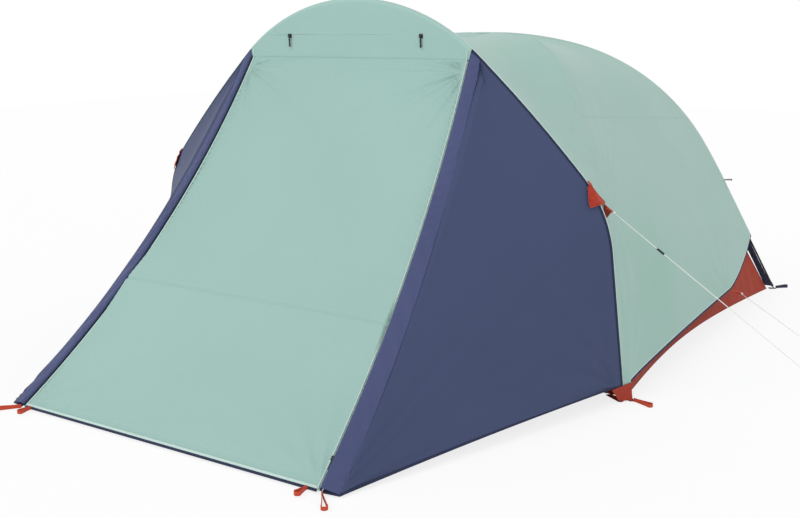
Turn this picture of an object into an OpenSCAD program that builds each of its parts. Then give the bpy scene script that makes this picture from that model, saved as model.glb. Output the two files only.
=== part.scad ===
// Dome tent with a hooped porch. Two crossed dome poles and a leaning front hoop carry a full
// fly sheet, and an inner tent with a tub floor hangs below the dome poles on clips.
// Millimetres, +Z up, front towards -Y, origin on the ground in the middle of the plan.

/* [Floor plan] */
// Width between the feet of the dome poles
base_w = 2500; // [2200:10:2800]
// Depth between the feet of the dome poles
base_d = 2150; // [1900:10:2400]
// Distance of the hoop's feet ahead of the front dome feet
hoop_ahead = 30; // [26:1:50]
// Distance from the hoop's feet to the foot of the porch door
porch_d = 1322; // [1150:2:1450]
// Inset of the sewn floor from the dome feet, along the diagonal
floor_inset = 42; // [38:1:60]

/* [Hoop pole] */
// Half of the span between the hoop's feet
hoop_half = 1216; // [1150:2:1280]
// Height of the hoop in its own plane
hoop_h = 1556; // [1480:2:1620]
// Forward lean of the hoop, in degrees
hoop_lean = 2.8; // [1:0.1:5]
// Length of the hoop's straight leg
hoop_leg = 600; // [540:5:650]
// Slope of the hoop's leg, in degrees
hoop_leg_slope = 84.5; // [83:0.5:86]
// Bend radius of the hoop's elbow
hoop_elbow_r = 500; // [460:5:540]
// Slope above the elbow, in degrees
hoop_shoulder_slope = 48.5; // [47.5:0.5:50]
// Slope where the hoop's crown begins, in degrees
hoop_crown_slope = 42; // [40:0.5:43]

/* [Dome poles] */
// Height of the crossing, measured on the lower pole
dome_h = 1392; // [1340:2:1450]
// Length of a dome pole's straight leg
dome_leg = 390; // [360:5:420]
// Slope of the leg, in degrees
dome_leg_slope = 70.5; // [69:0.5:72]
// Bend radius above the leg
dome_bend_r = 2130; // [2000:10:2300]
// Slope at the shoulder, in degrees
dome_shoulder_slope = 44; // [42:0.5:46]
// Slope where the dome's crown begins, in degrees
dome_crown_slope = 4; // [3.5:0.5:5]
// Straight length of a dome pole at its rear foot
rear_leg = 690; // [660:5:720]
// Slope of a dome pole's rear leg
rear_leg_slope = 60.8; // [60:0.2:62]
// Radius of the bend above the rear leg
rear_bend_r = 3900; // [3700:10:4100]
// Slope where the rear shoulder begins
rear_shoulder_slope = 57; // [56:0.5:58]
// Slope where the rear crown begins
rear_crown_slope = 14; // [12:0.5:16]

/* [Pole parts] */
// Outer diameter of the pole tube
pole_d = 9.5; // [8:0.1:12]
// Bore of the pole tube
pole_bore = 6.5; // [5:0.1:7]
// Outer diameter of the metal ferrules
ferrule_d = 13; // [12.4:0.1:15]
// Length of a ferrule
ferrule_l = 46; // [36:1:60]
// Length of the collar of a pole tip
tip_l = 22; // [16:1:30]
// Diameter of the pin of a pole tip
tip_pin_d = 6.4; // [5:0.1:7]

/* [Fly sheet] */
// Thickness of the sewn fabric
fabric_t = 2.5; // [2:0.1:3.5]
// Height of the fly's front corners above the ground
hem_front_z = 66; // [50:1:90]
// Height of the hem at its side tie-out
hem_tie_z = 128; // [100:1:150]
// Place of the side tie-out, as a fraction of the side from front to back
hem_tie_at = 0.68; // [0.55:0.01:0.75]
// Height of the hem at the rear corners
hem_rear_z = 300; // [260:5:340]
// Height of the hem in the middle of the rear
hem_back_z = 120; // [90:5:160]
// Depth of the hem binding
binding_h = 14; // [10:1:20]
// Inward sag of the fabric between the poles
fabric_sag = 28; // [10:1:45]
// Sag of the roof between the hoop and the dome
roof_sag = 100; // [60:5:120]

/* [Porch door] */
// Half of the door's width at its foot
door_foot_half = 728; // [660:2:790]
// Half of the door's width at its head
door_head_half = 561; // [520:1:600]
// Inward sag of the door's profile from a straight line
door_sag = 95; // [60:1:130]
// Height of the door's lower edge above the ground
door_foot_z = 6; // [4:1:16]
// Width of one zip tape
zip_tape_w = 9; // [7:0.5:12]
// Width of the flap that covers a porch zip
flap_w = 66; // [50:1:80]
// Height of the flap above the zip
flap_stand = 13.5; // [12.5:0.5:18]

/* [Inner tent] */
// Gap from the dome poles to the inner tent
inner_gap = 45; // [36:1:60]
// Height of the seam between the inner walls and the inner roof
inner_wall_z = 880; // [840:10:940]
// How far the floor's sides bow inward
floor_bow = 85; // [40:5:100]
// Height of the tub wall along its sides
tub_h = 150; // [120:5:165]
// Extra height of the tub wall at its corners
tub_ear_h = 130; // [60:5:150]
// Radius of the half-moon inner door
inner_door_r = 600; // [480:10:620]
// Distance of the inner door's hinge line up the front wall
inner_hinge_at = 190; // [185:1:215]

/* [Webbing and fittings] */
// Width of the stake loop webbing
loop_w = 14; // [10:1:20]
// Thickness of the webbing
web_t = 2; // [1.5:0.1:3]
// Inner radius of a stake loop's eye
loop_eye_r = 11; // [8:0.5:14]
// Reach of the porch stake loops
porch_loop_l = 105; // [80:1:130]
// Reach of the stake loops at the inner corners
corner_loop_l = 78; // [60:1:100]
// Width of the corner straps
strap_w = 26; // [20:1:34]
// Height of the guy-out point up the hoop
guy_z = 800; // [740:5:860]
// Distance that the guy-out stands off the fly
guy_stand = 15; // [10:1:22]
// Distance of each toggle from the middle of the door
toggle_x = 340; // [280:5:400]
// Diameter of the guyline
cord_d = 3; // [2.5:0.1:4]

/* [Hidden] */
$fn = 48;
gap = 0.3;
arc_fn = 720;

// Vectors and interpolation
function unit(v) = v / norm(v);
function mix(a, b, t) = a + (b - a) * t;
function clamp(v, lo, hi) = max(lo, min(hi, v));
function deg(rad) = rad * 180 / PI;

// A half pole runs from its foot to the crown as segments of [length, slope at its start, radius].
// Radius 0 is straight. The last two radii are solved so that the pole reaches its span and height.
function half_pole(leg, slope, bend_r, shoulder, crown, half, h) =
    let (
        x = half - leg * cos(slope) - bend_r * (sin(slope) - sin(shoulder)),
        z = h - leg * sin(slope) - bend_r * (cos(shoulder) - cos(slope)),
        sx = sin(shoulder) - sin(crown),
        sz = cos(crown) - cos(shoulder),
        cx = sin(crown),
        cz = 1 - cos(crown),
        det = sx * cz - cx * sz,
        shoulder_r = (x * cz - z * cx) / det,
        crown_r = (sx * z - sz * x) / det
    )
    [
        [leg, slope, 0],
        [bend_r * (slope - shoulder) * PI / 180, slope, bend_r],
        [shoulder_r * (shoulder - crown) * PI / 180, shoulder, shoulder_r],
        [crown_r * crown * PI / 180, crown, crown_r]
    ];

// Place [x, z, slope] after a length s of one segment that starts at p
function in_segment(p, seg, s) =
    seg[2] == 0
    ? [p[0] - s * cos(seg[1]), p[1] + s * sin(seg[1]), seg[1]]
    : let (h = seg[1] - deg(s / seg[2]))
      [p[0] - seg[2] * (sin(seg[1]) - sin(h)), p[1] + seg[2] * (cos(h) - cos(seg[1])), h];

// Place [x, z, slope] after a length s of a half pole whose foot is at p
function along(pole, s, p, i = 0) =
    i == len(pole) - 1 || s <= pole[i][0]
    ? in_segment(p, pole[i], s)
    : along(pole, s - pole[i][0], in_segment(p, pole[i], pole[i][0]), i + 1);

function pole_length(pole, n = 4) = n == 0 ? 0 : pole[n - 1][0] + pole_length(pole, n - 1);

// Length at which a half pole reaches a height, or comes in to a distance from its middle
function length_at_z(pole, p, z, lo, hi, n = 40) =
    let (s = (lo + hi) / 2)
    n == 0 ? s
    : along(pole, s, p)[1] < z ? length_at_z(pole, p, z, s, hi, n - 1)
    : length_at_z(pole, p, z, lo, s, n - 1);
function length_at_x(pole, p, x, lo, hi, n = 40) =
    let (s = (lo + hi) / 2)
    n == 0 ? s
    : along(pole, s, p)[0] > x ? length_at_x(pole, p, x, s, hi, n - 1)
    : length_at_x(pole, p, x, lo, s, n - 1);

// Plan
loop_dir_porch = unit([0.66, -0.75]);
loop_dir_front = unit([0.95, -0.3]);
loop_dir_rear = unit([0.62, 0.78]);
eye_out = loop_eye_r + web_t;
front_reach = porch_loop_l * -loop_dir_porch[1] + eye_out;
rear_reach = corner_loop_l * loop_dir_rear[1] + eye_out;
hoop_y = (porch_d + front_reach - hoop_ahead - base_d - rear_reach) / 2;
front_y = hoop_y + hoop_ahead;
mid_y = front_y + base_d / 2;
door_y = hoop_y - porch_d;
half_diag = norm([base_w, base_d]) / 2;
diag_angle = atan2(base_d, base_w);
diag_x = cos(diag_angle);
diag_y = sin(diag_angle);

// Hoop
hoop = half_pole(hoop_leg, hoop_leg_slope, hoop_elbow_r, hoop_shoulder_slope, hoop_crown_slope,
                 hoop_half, hoop_h);
hoop_len = pole_length(hoop);
hoop_foot = [hoop_half, 0];
hoop_counts = [1, 1, 2, 2];

// Dome poles, front and rear halves: the second pole crosses over the first, one pole higher
dome_rise = pole_d + 2 * gap;
function dome_half(sy, h) =
    sy < 0
    ? half_pole(dome_leg, dome_leg_slope, dome_bend_r, dome_shoulder_slope, dome_crown_slope, half_diag, h)
    : half_pole(rear_leg, rear_leg_slope, rear_bend_r, rear_shoulder_slope, rear_crown_slope, half_diag, h);
low_halves = [dome_half(-1, dome_h), dome_half(1, dome_h)];
high_halves = [dome_half(-1, dome_h + dome_rise), dome_half(1, dome_h + dome_rise)];
function low_half(sy) = low_halves[sy < 0 ? 0 : 1];
function high_half(sy) = high_halves[sy < 0 ? 0 : 1];
function leg_slope(sy) = sy < 0 ? dome_leg_slope : rear_leg_slope;
function dome_counts(sy) = sy < 0 ? [1, 2, 1, 1] : [1, 1, 2, 1];
dome_foot = [half_diag, 0];

// The fly clears the ferrules, with room for its straight runs between stations
clip_wall = 3;
fly_lift = ferrule_d / 2 + fabric_t + clip_wall + 3.5;
fold = 0.0004;

// A point of the fly over the hoop, at a length s up its right half
function hoop_point(s, lift = fly_lift) =
    let (
        q = along(hoop, s, hoop_foot),
        x = q[0] + lift * sin(q[2]),
        h = q[1] + lift * cos(q[2])
    )
    [x, hoop_y - h * sin(hoop_lean), h * cos(hoop_lean)];

// A point over or under a dome pole, at a length s, on the side [sx, sy] of the plan
function dome_point(s, sx, sy, lift = fly_lift) =
    let (
        q = along(high_half(sy), s, dome_foot),
        r = q[0] + lift * sin(q[2])
    )
    [sx * r * diag_x, mid_y + sy * r * diag_y, q[1] + lift * cos(q[2])];

// Fabric thickness points at a core line inside the tent, so that neighbours meet at their seams
core_z = 350;
core_front = hoop_y - 600;
function inset(p, t) =
    let (core = [0, clamp(p[1], core_front, mid_y), core_z])
    p + t * unit(core - p);

// Stations up the hoop and the dome poles, shared by every panel that meets there
porch_rows = 17;
crown_rows = 6;
rows = porch_rows + crown_rows;
crown_cut = 62;
hoop_hem_s = length_at_z(hoop, hoop_foot, hem_front_z, 0, hoop_len);
hoop_head_s = length_at_x(hoop, hoop_foot, door_head_half, 0, hoop_len);
hoop_end_s = hoop_len - crown_cut * diag_x;
function dome_end_s(sy) = pole_length(high_half(sy)) - crown_cut;
function hoop_station(k) =
    k == 0 ? hoop_hem_s
    : k <= porch_rows ? mix(hoop_hem_s + binding_h, hoop_head_s, (k - 1) / (porch_rows - 1))
    : mix(hoop_head_s, hoop_end_s, (k - porch_rows) / crown_rows);
function dome_station(k, hem_s, sy) =
    k == 0 ? hem_s : mix(hem_s + binding_h, dome_end_s(sy), (k - 1) / (rows - 1));
function dome_at_z(z, sy) = length_at_z(high_half(sy), dome_foot, z, 0, dome_end_s(sy));
function dome_hem_point(k, hem_z, sx, sy) = dome_point(dome_station(k, dome_at_z(hem_z, sy), sy), sx, sy);

// A thin solid between an outer and an inner grid of points
function flat(grid) = [for (row = grid) for (p = row) p];
module shell(grid, inner_grid) {
    m = len(grid);
    n = len(grid[0]);
    b = m * n;
    outer = flat(grid);
    inner = flat(inner_grid);
    side = cross(grid[0][1] - grid[0][0], grid[1][0] - grid[0][0]) * (outer[0] - inner[0]);
    quads = concat(
        [for (i = [0:m - 2]) for (j = [0:n - 2])
            [i * n + j, i * n + j + 1, i * n + n + j + 1, i * n + n + j]],
        [for (i = [0:m - 2]) for (j = [0:n - 2])
            [b + i * n + j, b + i * n + n + j, b + i * n + n + j + 1, b + i * n + j + 1]],
        [for (j = [0:n - 2]) [j, b + j, b + j + 1, j + 1]],
        [for (j = [b - n:b - 2]) [j, j + 1, b + j + 1, b + j]],
        [for (i = [0:m - 2]) [i * n, i * n + n, b + i * n + n, b + i * n]],
        [for (i = [1:m - 1]) [i * n - 1, b + i * n - 1, b + i * n + n - 1, i * n + n - 1]]
    );
    polyhedron(
        concat(outer, inner),
        [for (q = quads) for (f = [[q[0], q[1], q[2]], [q[0], q[2], q[3]]]) side > 0 ? [f[2], f[1], f[0]] : f]
    );
}

// A sheet over a grid of outer points, made solid towards the core line or along one direction
module sheet(grid, t = fabric_t, dir = undef)
    shell(grid, [for (row = grid) [for (p = row) is_undef(dir) ? inset(p, t) : p + t * dir]]);

// A solid through closed loops of equal count, each turning left seen against the way they run
function middle(loop) = [for (p = loop) 1] * loop / len(loop);
module lofted(loops) {
    n = len(loops[0]);
    m = len(loops);
    top = (m - 1) * n;
    polyhedron(
        concat(flat(loops), [middle(loops[0]), middle(loops[m - 1])]),
        concat(
            [for (j = [0:n - 1]) [j, (j + 1) % n, m * n]],
            [for (k = [0:m - 2]) for (j = [0:n - 1])
                for (f = [[0, n, n + 1], [0, n + 1, 1]])
                    [for (v = f) k * n + (v >= n ? n : 0) + (j + v % n) % n]],
            [for (j = [0:n - 1]) [top + (j + 1) % n, top + j, m * n + 1]]
        )
    );
}

// A cord of 8 sides through its route's points
module cord(route, d) {
    last = len(route) - 1;
    function run(i) = unit(route[min(i + 1, last)] - route[max(i - 1, 0)]);
    lofted([
        for (i = [0:last])
            let (t = run(i), u = unit(cross(t, [0.3, 1, 0.2])), v = cross(t, u))
            [for (a = [0:45:315]) route[i] + d / 2 * (cos(a) * u + sin(a) * v)]
    ]);
}

// Puts children with their X, Y and Z along three given directions
module framed(origin, ex, ey, ez) {
    multmatrix([
        [ex[0], ey[0], ez[0], origin[0]],
        [ex[1], ey[1], ez[1], origin[1]],
        [ex[2], ey[2], ez[2], origin[2]],
        [0, 0, 0, 1]
    ]) children();
}

module both_sides() {
    children();
    mirror([1, 0, 0]) children();
}

// Poles, drawn in the XZ plane with the middle at X 0
module pole_ring() {
    difference() {
        circle(d = pole_d);
        circle(d = pole_bore);
    }
}

module pole_arc(p, seg, s, l) {
    r = seg[2];
    slope = seg[1] - deg(s / r);
    translate([p[0] - r * sin(seg[1]), 0, p[1] - r * cos(seg[1])])
        rotate([90, 0, 0])
            rotate([0, 0, 90 - slope])
                rotate_extrude(angle = deg(l / r), $fn = arc_fn) translate([r, 0]) pole_ring();
}

module up_leg(p, slope) {
    translate([p[0], 0, p[1]]) rotate([0, slope - 90, 0]) children();
}

module pole_half(half, foot, counts) {
    starts = [for (i = 0, p = foot; i < 4; p = in_segment(p, half[i], half[i][0]), i = i + 1) p];
    up_leg(foot, half[0][1])
        translate([0, 0, tip_end]) linear_extrude(half[0][0] - tip_end - gap) pole_ring();
    for (i = [1:3])
        for (j = [0:counts[i] - 1]) {
            l = half[i][0] / counts[i];
            pole_arc(starts[i], half[i], j * l, l - gap);
        }
}

// Ferrules over the joints of a half pole, up to its middle where skip is 0
module ferrules(half, foot, counts, skip, d = ferrule_d) {
    before = [0, half[0][0], half[0][0] + half[1][0], half[0][0] + half[1][0] + half[2][0]];
    joints = concat(
        [before[1]],
        [for (i = [1:3]) for (j = [1:counts[i]]) before[i] + j * half[i][0] / counts[i]]
    );
    for (i = [0:len(joints) - 1 - skip]) {
        q = along(half, joints[i], foot);
        up_leg(q, q[2])
            difference() {
                cylinder(d = d, h = ferrule_l, center = true);
                cylinder(d = pole_d + ferrule_fit, h = ferrule_l + 2, center = true);
            }
    }
}
ferrule_fit = 1.4;
hoop_ferrule_d = ferrule_d + 1.6;

// A pole tip: a pin for the grommet, a collar under the tube and a spigot inside it
tip_pin_l = 16;
tip_end = tip_pin_l + tip_l + gap;
module pole_tip(slope) {
    pin_low = (1 + tip_pin_d / 2 * cos(slope)) / sin(slope);
    rotate_extrude()
        polygon([
            [0, pin_low],
            [tip_pin_d / 2 - 1, pin_low],
            [tip_pin_d / 2, pin_low + 1],
            [tip_pin_d / 2, tip_pin_l],
            [ferrule_d / 2, tip_pin_l + 1],
            [ferrule_d / 2, tip_pin_l + tip_l],
            [pole_bore / 2 - gap, tip_pin_l + tip_l],
            [pole_bore / 2 - gap, tip_end + 18],
            [0, tip_end + 18]
        ]);
}

module at_hoop() translate([0, hoop_y, 0]) rotate([hoop_lean, 0, 0]) children();
module at_dome(sx, sy)
    mirror([sx < 0 ? 1 : 0, 0, 0]) translate([0, mid_y, 0]) rotate([0, 0, sy * diag_angle]) children();

module hoop_pole() color("#22242a") at_hoop() both_sides() pole_half(hoop, hoop_foot, hoop_counts);
module lower_dome_pole() color("#22242a")
    for (s = [-1, 1]) at_dome(s, s) pole_half(low_half(s), dome_foot, dome_counts(s));
module upper_dome_pole() color("#22242a")
    for (s = [-1, 1]) at_dome(-s, s) pole_half(high_half(s), dome_foot, dome_counts(s));
module pole_ferrules() color("silver") {
    at_hoop() both_sides() ferrules(hoop, hoop_foot, hoop_counts, 0, hoop_ferrule_d);
    for (s = [-1, 1]) {
        at_dome(s, s) ferrules(low_half(s), dome_foot, dome_counts(s), 1);
        at_dome(-s, s) ferrules(high_half(s), dome_foot, dome_counts(s), 1);
    }
}
module pole_tips() color("#3a3c42") {
    at_hoop() both_sides() up_leg(hoop_foot, hoop_leg_slope) pole_tip(hoop_leg_slope);
    for (sx = [-1, 1]) for (sy = [-1, 1])
        at_dome(sx, sy) up_leg(dome_foot, leg_slope(sy)) pole_tip(leg_slope(sy));
}

// Hub that keeps the two dome poles together where they cross
hub_r = 24;
module crown_hub() color("#2b2d33") {
    low = dome_h - pole_d / 2 - 4;
    high = min([for (sy = [-1, 1]) dome_point(dome_end_s(sy), 1, sy)[2]]) - fabric_t - 2 * gap;
    difference() {
        translate([0, mid_y, low]) cylinder(r = hub_r, h = high - low);
        for (turn = [1, -1])
            translate([0, mid_y, turn == 1 ? dome_h : dome_h + dome_rise])
                rotate([0, 0, turn * diag_angle])
                    rotate([0, 90, 0]) cylinder(d = pole_d + 2 * gap, h = 3 * hub_r, center = true);
    }
}

// Fly sheet of the dome
dome_hem_s = dome_at_z(hem_front_z, -1);
rear_hem_s = dome_at_z(hem_rear_z, 1);
side_cols = 10;
function spread(j, n) = mix(fold, 1 - fold, j / n);

// Height of the side hem from the front corner, past the tie-out, to the rear corner
function side_hem_z(f) =
    f < hem_tie_at
    ? mix(hem_front_z, hem_tie_z, pow(f / hem_tie_at, 0.7))
    : mix(hem_tie_z, hem_rear_z, pow((f - hem_tie_at) / (1 - hem_tie_at), 1.3));
function rear_hem_z(f) = mix(hem_back_z, hem_rear_z, pow(abs(2 * f - 1), 2.6));

// A panel point between two edges, sagging inward in the middle and less towards its hem
function panel_point(a, b, f, up) =
    inset(mix(a, b, f), fabric_sag * sin(180 * f) * sin(150 * up + 12));

function side_row(k) = [
    for (j = [0:side_cols])
        let (f = spread(j, side_cols), z = side_hem_z(f))
        panel_point(dome_hem_point(k, z, 1, -1), dome_hem_point(k, z, 1, 1), f, k / rows)
];
function rear_row(k) = [
    for (j = [0:side_cols])
        let (f = spread(j, side_cols), z = rear_hem_z(f))
        panel_point(dome_hem_point(k, z, 1, 1), dome_hem_point(k, z, -1, 1), f, k / rows)
];
module right_fly_panel() color("#a3bfb8") sheet([for (k = [1:rows]) side_row(k)]);
module left_fly_panel() color("#a3bfb8") mirror([1, 0, 0]) sheet([for (k = [1:rows]) side_row(k)]);
module rear_fly_panel() color("#a3bfb8") sheet([for (k = [1:rows]) rear_row(k)]);

// The roof runs from the hoop back to the front halves of the dome poles
roof_cols = 6;
function roof_column(k, side) = [
    for (j = [0:roof_cols])
        let (
            f = spread(j, roof_cols),
            h = hoop_point(hoop_station(k)),
            d = dome_hem_point(k, hem_front_z, 1, -1),
            p = inset(mix(h, d, f), roof_sag * sin(180 * f) * pow(k / rows, 1.5))
        )
        [side * p[0], p[1], p[2]]
];
module front_fly_roof() color("#a3bfb8")
    sheet(concat([for (k = [0:rows]) roof_column(k, 1)], [for (k = [rows:-1:0]) roof_column(k, -1)]));

// Patch over the crossing, where the four dome panels meet
module fly_crown_patch() color("#a3bfb8")
    sheet([for (sy = [-1, 1]) [for (sx = [-1, 1]) dome_point(dome_end_s(sy) + 0.5, sx, sy)]]);

// Porch door: a sheet curved front to back and straight from side to side
head_drop = 40;
head_z = hoop_point(hoop_head_s)[2] - head_drop;
brow_ahead = ferrule_d / 2 + fabric_t + 2 * gap;
head_y = hoop_point(hoop_head_s)[1] + head_drop * tan(hoop_lean) - brow_ahead;
plan_run = [door_head_half - door_foot_half, head_y - door_y];
zip_run = unit([plan_run[0], plan_run[1], 0]);
zip_side = [zip_run[1], -zip_run[0], 0];
zip_chord = [norm(plan_run), head_z - door_foot_z];
function sag_radius(chord, sag) = pow(norm(chord), 2) / (8 * sag) + sag / 2;
function sag_centre(low, chord, sag) =
    low + chord / 2 - (sag_radius(chord, sag) - sag) * unit([chord[1], -chord[0]]);
zip_r = sag_radius(zip_chord, door_sag);
zip_c = sag_centre([0, door_foot_z], zip_chord, door_sag);
zip_origin = [door_foot_half, door_y, 0] + zip_c[0] * zip_run + [0, 0, zip_c[1]];
door_gap = 2;
door_edge = zip_tape_w + gap;
door_top_z = head_z - door_gap;

// Place on the zip's arc at a height, then off it to the side and outward
function zip_angle(z) = asin((z - zip_c[1]) / zip_r);
function off_zip(a, side, out) =
    zip_origin + (zip_r - out) * (cos(a) * zip_run + [0, 0, sin(a)]) + side * zip_side;

// Stands children in the plane of the right zip, about the centre of its arc
module at_zip() framed(zip_origin, zip_run, [0, 0, 1], zip_side) children();

// A band of the zip's arc, between two heights, sides and distances outward
module zip_band(z1, z2, side1, side2, out1, out2) {
    a = zip_angle(z1);
    at_zip()
        rotate([0, 0, a])
            rotate_extrude(angle = zip_angle(z2) - a, $fn = arc_fn)
                translate([zip_r - out2, side1]) square([out2 - out1, side2 - side1]);
}

// The door, ruled straight across between its two zips
door_rows = 24;
function flipped(p) = [-p[0], p[1], p[2]];
function door_grid(z1, z2, n, out) = [
    for (k = [0:n])
        let (p = off_zip(zip_angle(mix(z1, z2, k / n)), -door_edge, out))
        [flipped(p), p]
];
module door_part(z1, z2, n, t)
    shell(door_grid(z1, z2, n, t / 2), door_grid(z1, z2, n, -t / 2));
hem_t = fabric_t + 1.6;
module door_panel() color("#a0c1b8")
    door_part(door_foot_z + binding_h + gap, door_top_z, door_rows, fabric_t);
module door_hem() color("#2b3350")
    door_part(door_foot_z, door_foot_z + binding_h, 1, hem_t);

// The zip tapes, one on the porch panel and one on the door, and their sliders
coil_t = 2.4;
tape_foot_z = door_foot_z + 2;
module porch_zip_tape()
    zip_band(tape_foot_z, head_z - 6, gap / 2, zip_tape_w, -coil_t / 2, coil_t / 2);
module right_zip() color("#2b3350") porch_zip_tape();
module left_zip() color("#2b3350") mirror([1, 0, 0]) porch_zip_tape();
module door_zip_tapes() color("#2b3350")
    both_sides()
        zip_band(tape_foot_z, head_z - 6, -zip_tape_w, -gap / 2, -coil_t / 2, coil_t / 2);

// The sliders stay on the door's tapes, beside the free edge of the flap
slider_z = 74;
slider_h = 5.4;
slider_l = 17;
slider_in = -8.4;
slider_edge = 0.2;
pull_t = 1.6;
module zip_slider() {
    drop = slider_l * sin(zip_angle(slider_z) + 90);
    low = coil_t / 2 + gap;
    mid = (slider_in + slider_edge) / 2;
    difference() {
        zip_band(slider_z, slider_z + drop, slider_in, slider_edge, low, low + slider_h);
        zip_band(slider_z + drop * 0.3, slider_z + drop * 0.7, mid - 3, mid + 3, low + 2.2, low + 3.8);
    }
    zip_band(slider_z - 2 * drop, slider_z + drop * 0.2, mid - 3, mid + 3, low + 0.6, low + 0.6 + pull_t);
}
module right_zip_slider() color("#3a3c42") zip_slider();
module left_zip_slider() color("#3a3c42") mirror([1, 0, 0]) zip_slider();

// Porch side panel: level with the door beside the zip, then back to the hoop
level_rows = 4;
porch_hem_lift = 9;
porch_cols = 7;
head_step = 12;
function porch_zip_z(k) =
    let (
        h = hoop_point(hoop_station(k))[2],
        low = hoop_point(hoop_station(0))[2],
        z = h - (low - door_foot_z) * pow(1 - k / porch_rows, 4)
    )
    k == 0 ? door_foot_z : min(z, head_z - 1 - head_step * (porch_rows - k));
function porch_zip_edge(k) = off_zip(zip_angle(porch_zip_z(k)), zip_tape_w + fabric_t + gap, 0);
lip_lift = 4;
function hoop_lip(k, z) =
    let (
        s = hoop_station(k),
        h = hoop_point(s),
        f = brow_ahead / (h[1] - z[1])
    )
    f < 0.3 ? mix(h, z, f) : hoop_point(s, lip_lift) - [0, brow_ahead, 0];
function porch_row(k) =
    let (
        z = porch_zip_edge(k),
        lip = hoop_lip(k, z),
        near = min(flap_w / norm(lip - z), 0.6),
        level = min(1, (porch_rows - k) / level_rows),
        turn = mix(mix(z, lip, near), z + near * norm(lip - z) * zip_side, level)
    )
    concat(
        [z],
        [
            for (j = [0:porch_cols - 1])
                let (f = j / (porch_cols - 1), p = mix(turn, lip, f))
                j == 0 ? p
                : k < 2 ? p + [0, 0, porch_hem_lift * sin(180 * f)]
                : inset(p, 0.5 * fabric_sag * sin(180 * f))
        ],
        [mix(hoop_point(hoop_station(k)), lip, 10 * fold)]
    );
module porch_panel() sheet([for (k = [1:porch_rows]) porch_row(k)]);
module right_porch_panel() color("#454f6e") porch_panel();
module left_porch_panel() color("#454f6e") mirror([1, 0, 0]) porch_panel();

// Flap over the zip: sewn to the porch panel, its free edge standing clear of slider and door
flap_edge = 0.8;
function flap_row(k) =
    let (a = zip_angle(porch_zip_z(k)), sewn = porch_row(k)[1])
    [
        inset(sewn, -fabric_t - 1),
        off_zip(a, zip_tape_w + 1, flap_stand),
        off_zip(a, flap_edge, flap_stand - 0.5)
    ];
flap_top = porch_rows - 0.4;
module zip_flap() sheet([for (k = [1:porch_rows]) flap_row(min(k, flap_top))], fabric_t * 0.8);
module right_zip_flap() color("#535a82") zip_flap();
module left_zip_flap() color("#535a82") mirror([1, 0, 0]) zip_flap();

// Brow: the upright piece between the hoop's crown and the door's head. It leaves the roof's front
// edge, comes forward round the hoop and drops to the door
brow_out = [0, -1, 0];
brow_lip = 10;
function brow_column(k, side) =
    let (h = hoop_point(hoop_station(k)))
    [
        for (z = [h[2], h[2] - brow_lip, mix(h[2] - brow_lip, head_z, 0.5), head_z])
            let (ahead = z == h[2] ? fold : brow_ahead)
            [side * h[0], h[1] + (h[2] - z) * tan(hoop_lean) - ahead, z]
    ];
module fly_brow() color("#a3bfb8")
    sheet(concat(
        [for (k = [porch_rows:rows]) brow_column(k, 1)],
        [for (k = [rows:-1:porch_rows]) brow_column(k, -1)]
    ), fabric_t, brow_out);

// Bindings along the hems of the fly
module fly_hems() color("#2b3350") {
    both_sides() {
        sheet([for (k = [0, 1]) side_row(k)]);
        sheet([for (k = [0, 1]) porch_row(k)]);
    }
    sheet([for (k = [0, 1]) rear_row(k)]);
}

// Inner tent: straight edges from the floor's corners to the wall seam, then under the poles
floor_r = half_diag - floor_inset;
function under_pole(s, sy) =
    let (q = along(low_half(sy), s, dome_foot))
    [q[0] - inner_gap * sin(q[2]), q[1] - inner_gap * cos(q[2])];
function inner_end_s(sy) = pole_length(low_half(sy)) - crown_cut;
function inner_s(sy) =
    let (
        half = low_half(sy),
        slope = along(half, length_at_z(half, dome_foot, inner_wall_z, 0, inner_end_s(sy)), dome_foot)[2]
    )
    length_at_z(half, dome_foot, inner_wall_z + inner_gap * cos(slope), 0, inner_end_s(sy));
seams = [for (sy = [-1, 1]) under_pole(inner_s(sy), sy)];
function inner_seam(sy) = seams[sy < 0 ? 0 : 1];
seam_z = min(seams[0][1], seams[1][1]);
function wall_r(z, sy) = mix(floor_r, inner_seam(sy)[0], z / inner_seam(sy)[1]);
function inner_corner(r, z, sx, sy) = [sx * r * diag_x, mid_y + sy * r * diag_y, z];

// Rim of the tub: raised at its corners
ear_run = 0.13;
rim_stops = [
    0, 0.035, 0.07, 0.1, ear_run, 0.22, 0.31, 0.4,
    0.5, 0.6, 0.69, 0.78, 1 - ear_run, 0.9, 0.93, 0.965
];
function rim_z(f) = tub_h + tub_ear_h * pow(max(0, 1 - min(f, 1 - f) / ear_run), 1.4);
function wall_corner(z, c) = inner_corner(wall_r(z, c[1]), z, c[0], c[1]);
function wall_point(f, z, a, b) =
    let (
        bow = floor_bow * sin(180 * f) * (1 - z / seam_z),
        out = (a + b) / 2
    )
    mix(wall_corner(z, a), wall_corner(z, b), f) - (out[1] < 0 ? 0 : bow) * [out[0], out[1], 0];
corners = [[-1, -1], [1, -1], [1, 1], [-1, 1]];
function around(z, t) = [
    for (i = [0:3]) for (f = rim_stops)
        let (h = is_undef(z) ? rim_z(f) : z, p = wall_point(f, h, corners[i], corners[(i + 1) % 4]))
        [
            sign(p[0]) * (abs(p[0]) - t),
            p[1] + t * (p[1] > mid_y ? -1 : 1),
            p[2]
        ]
];
module floor_tub() color("#9e3c30")
    lofted([around(0, 0), around(undef, 0), around(undef, fabric_t), around(fabric_t, fabric_t)]);

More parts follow.
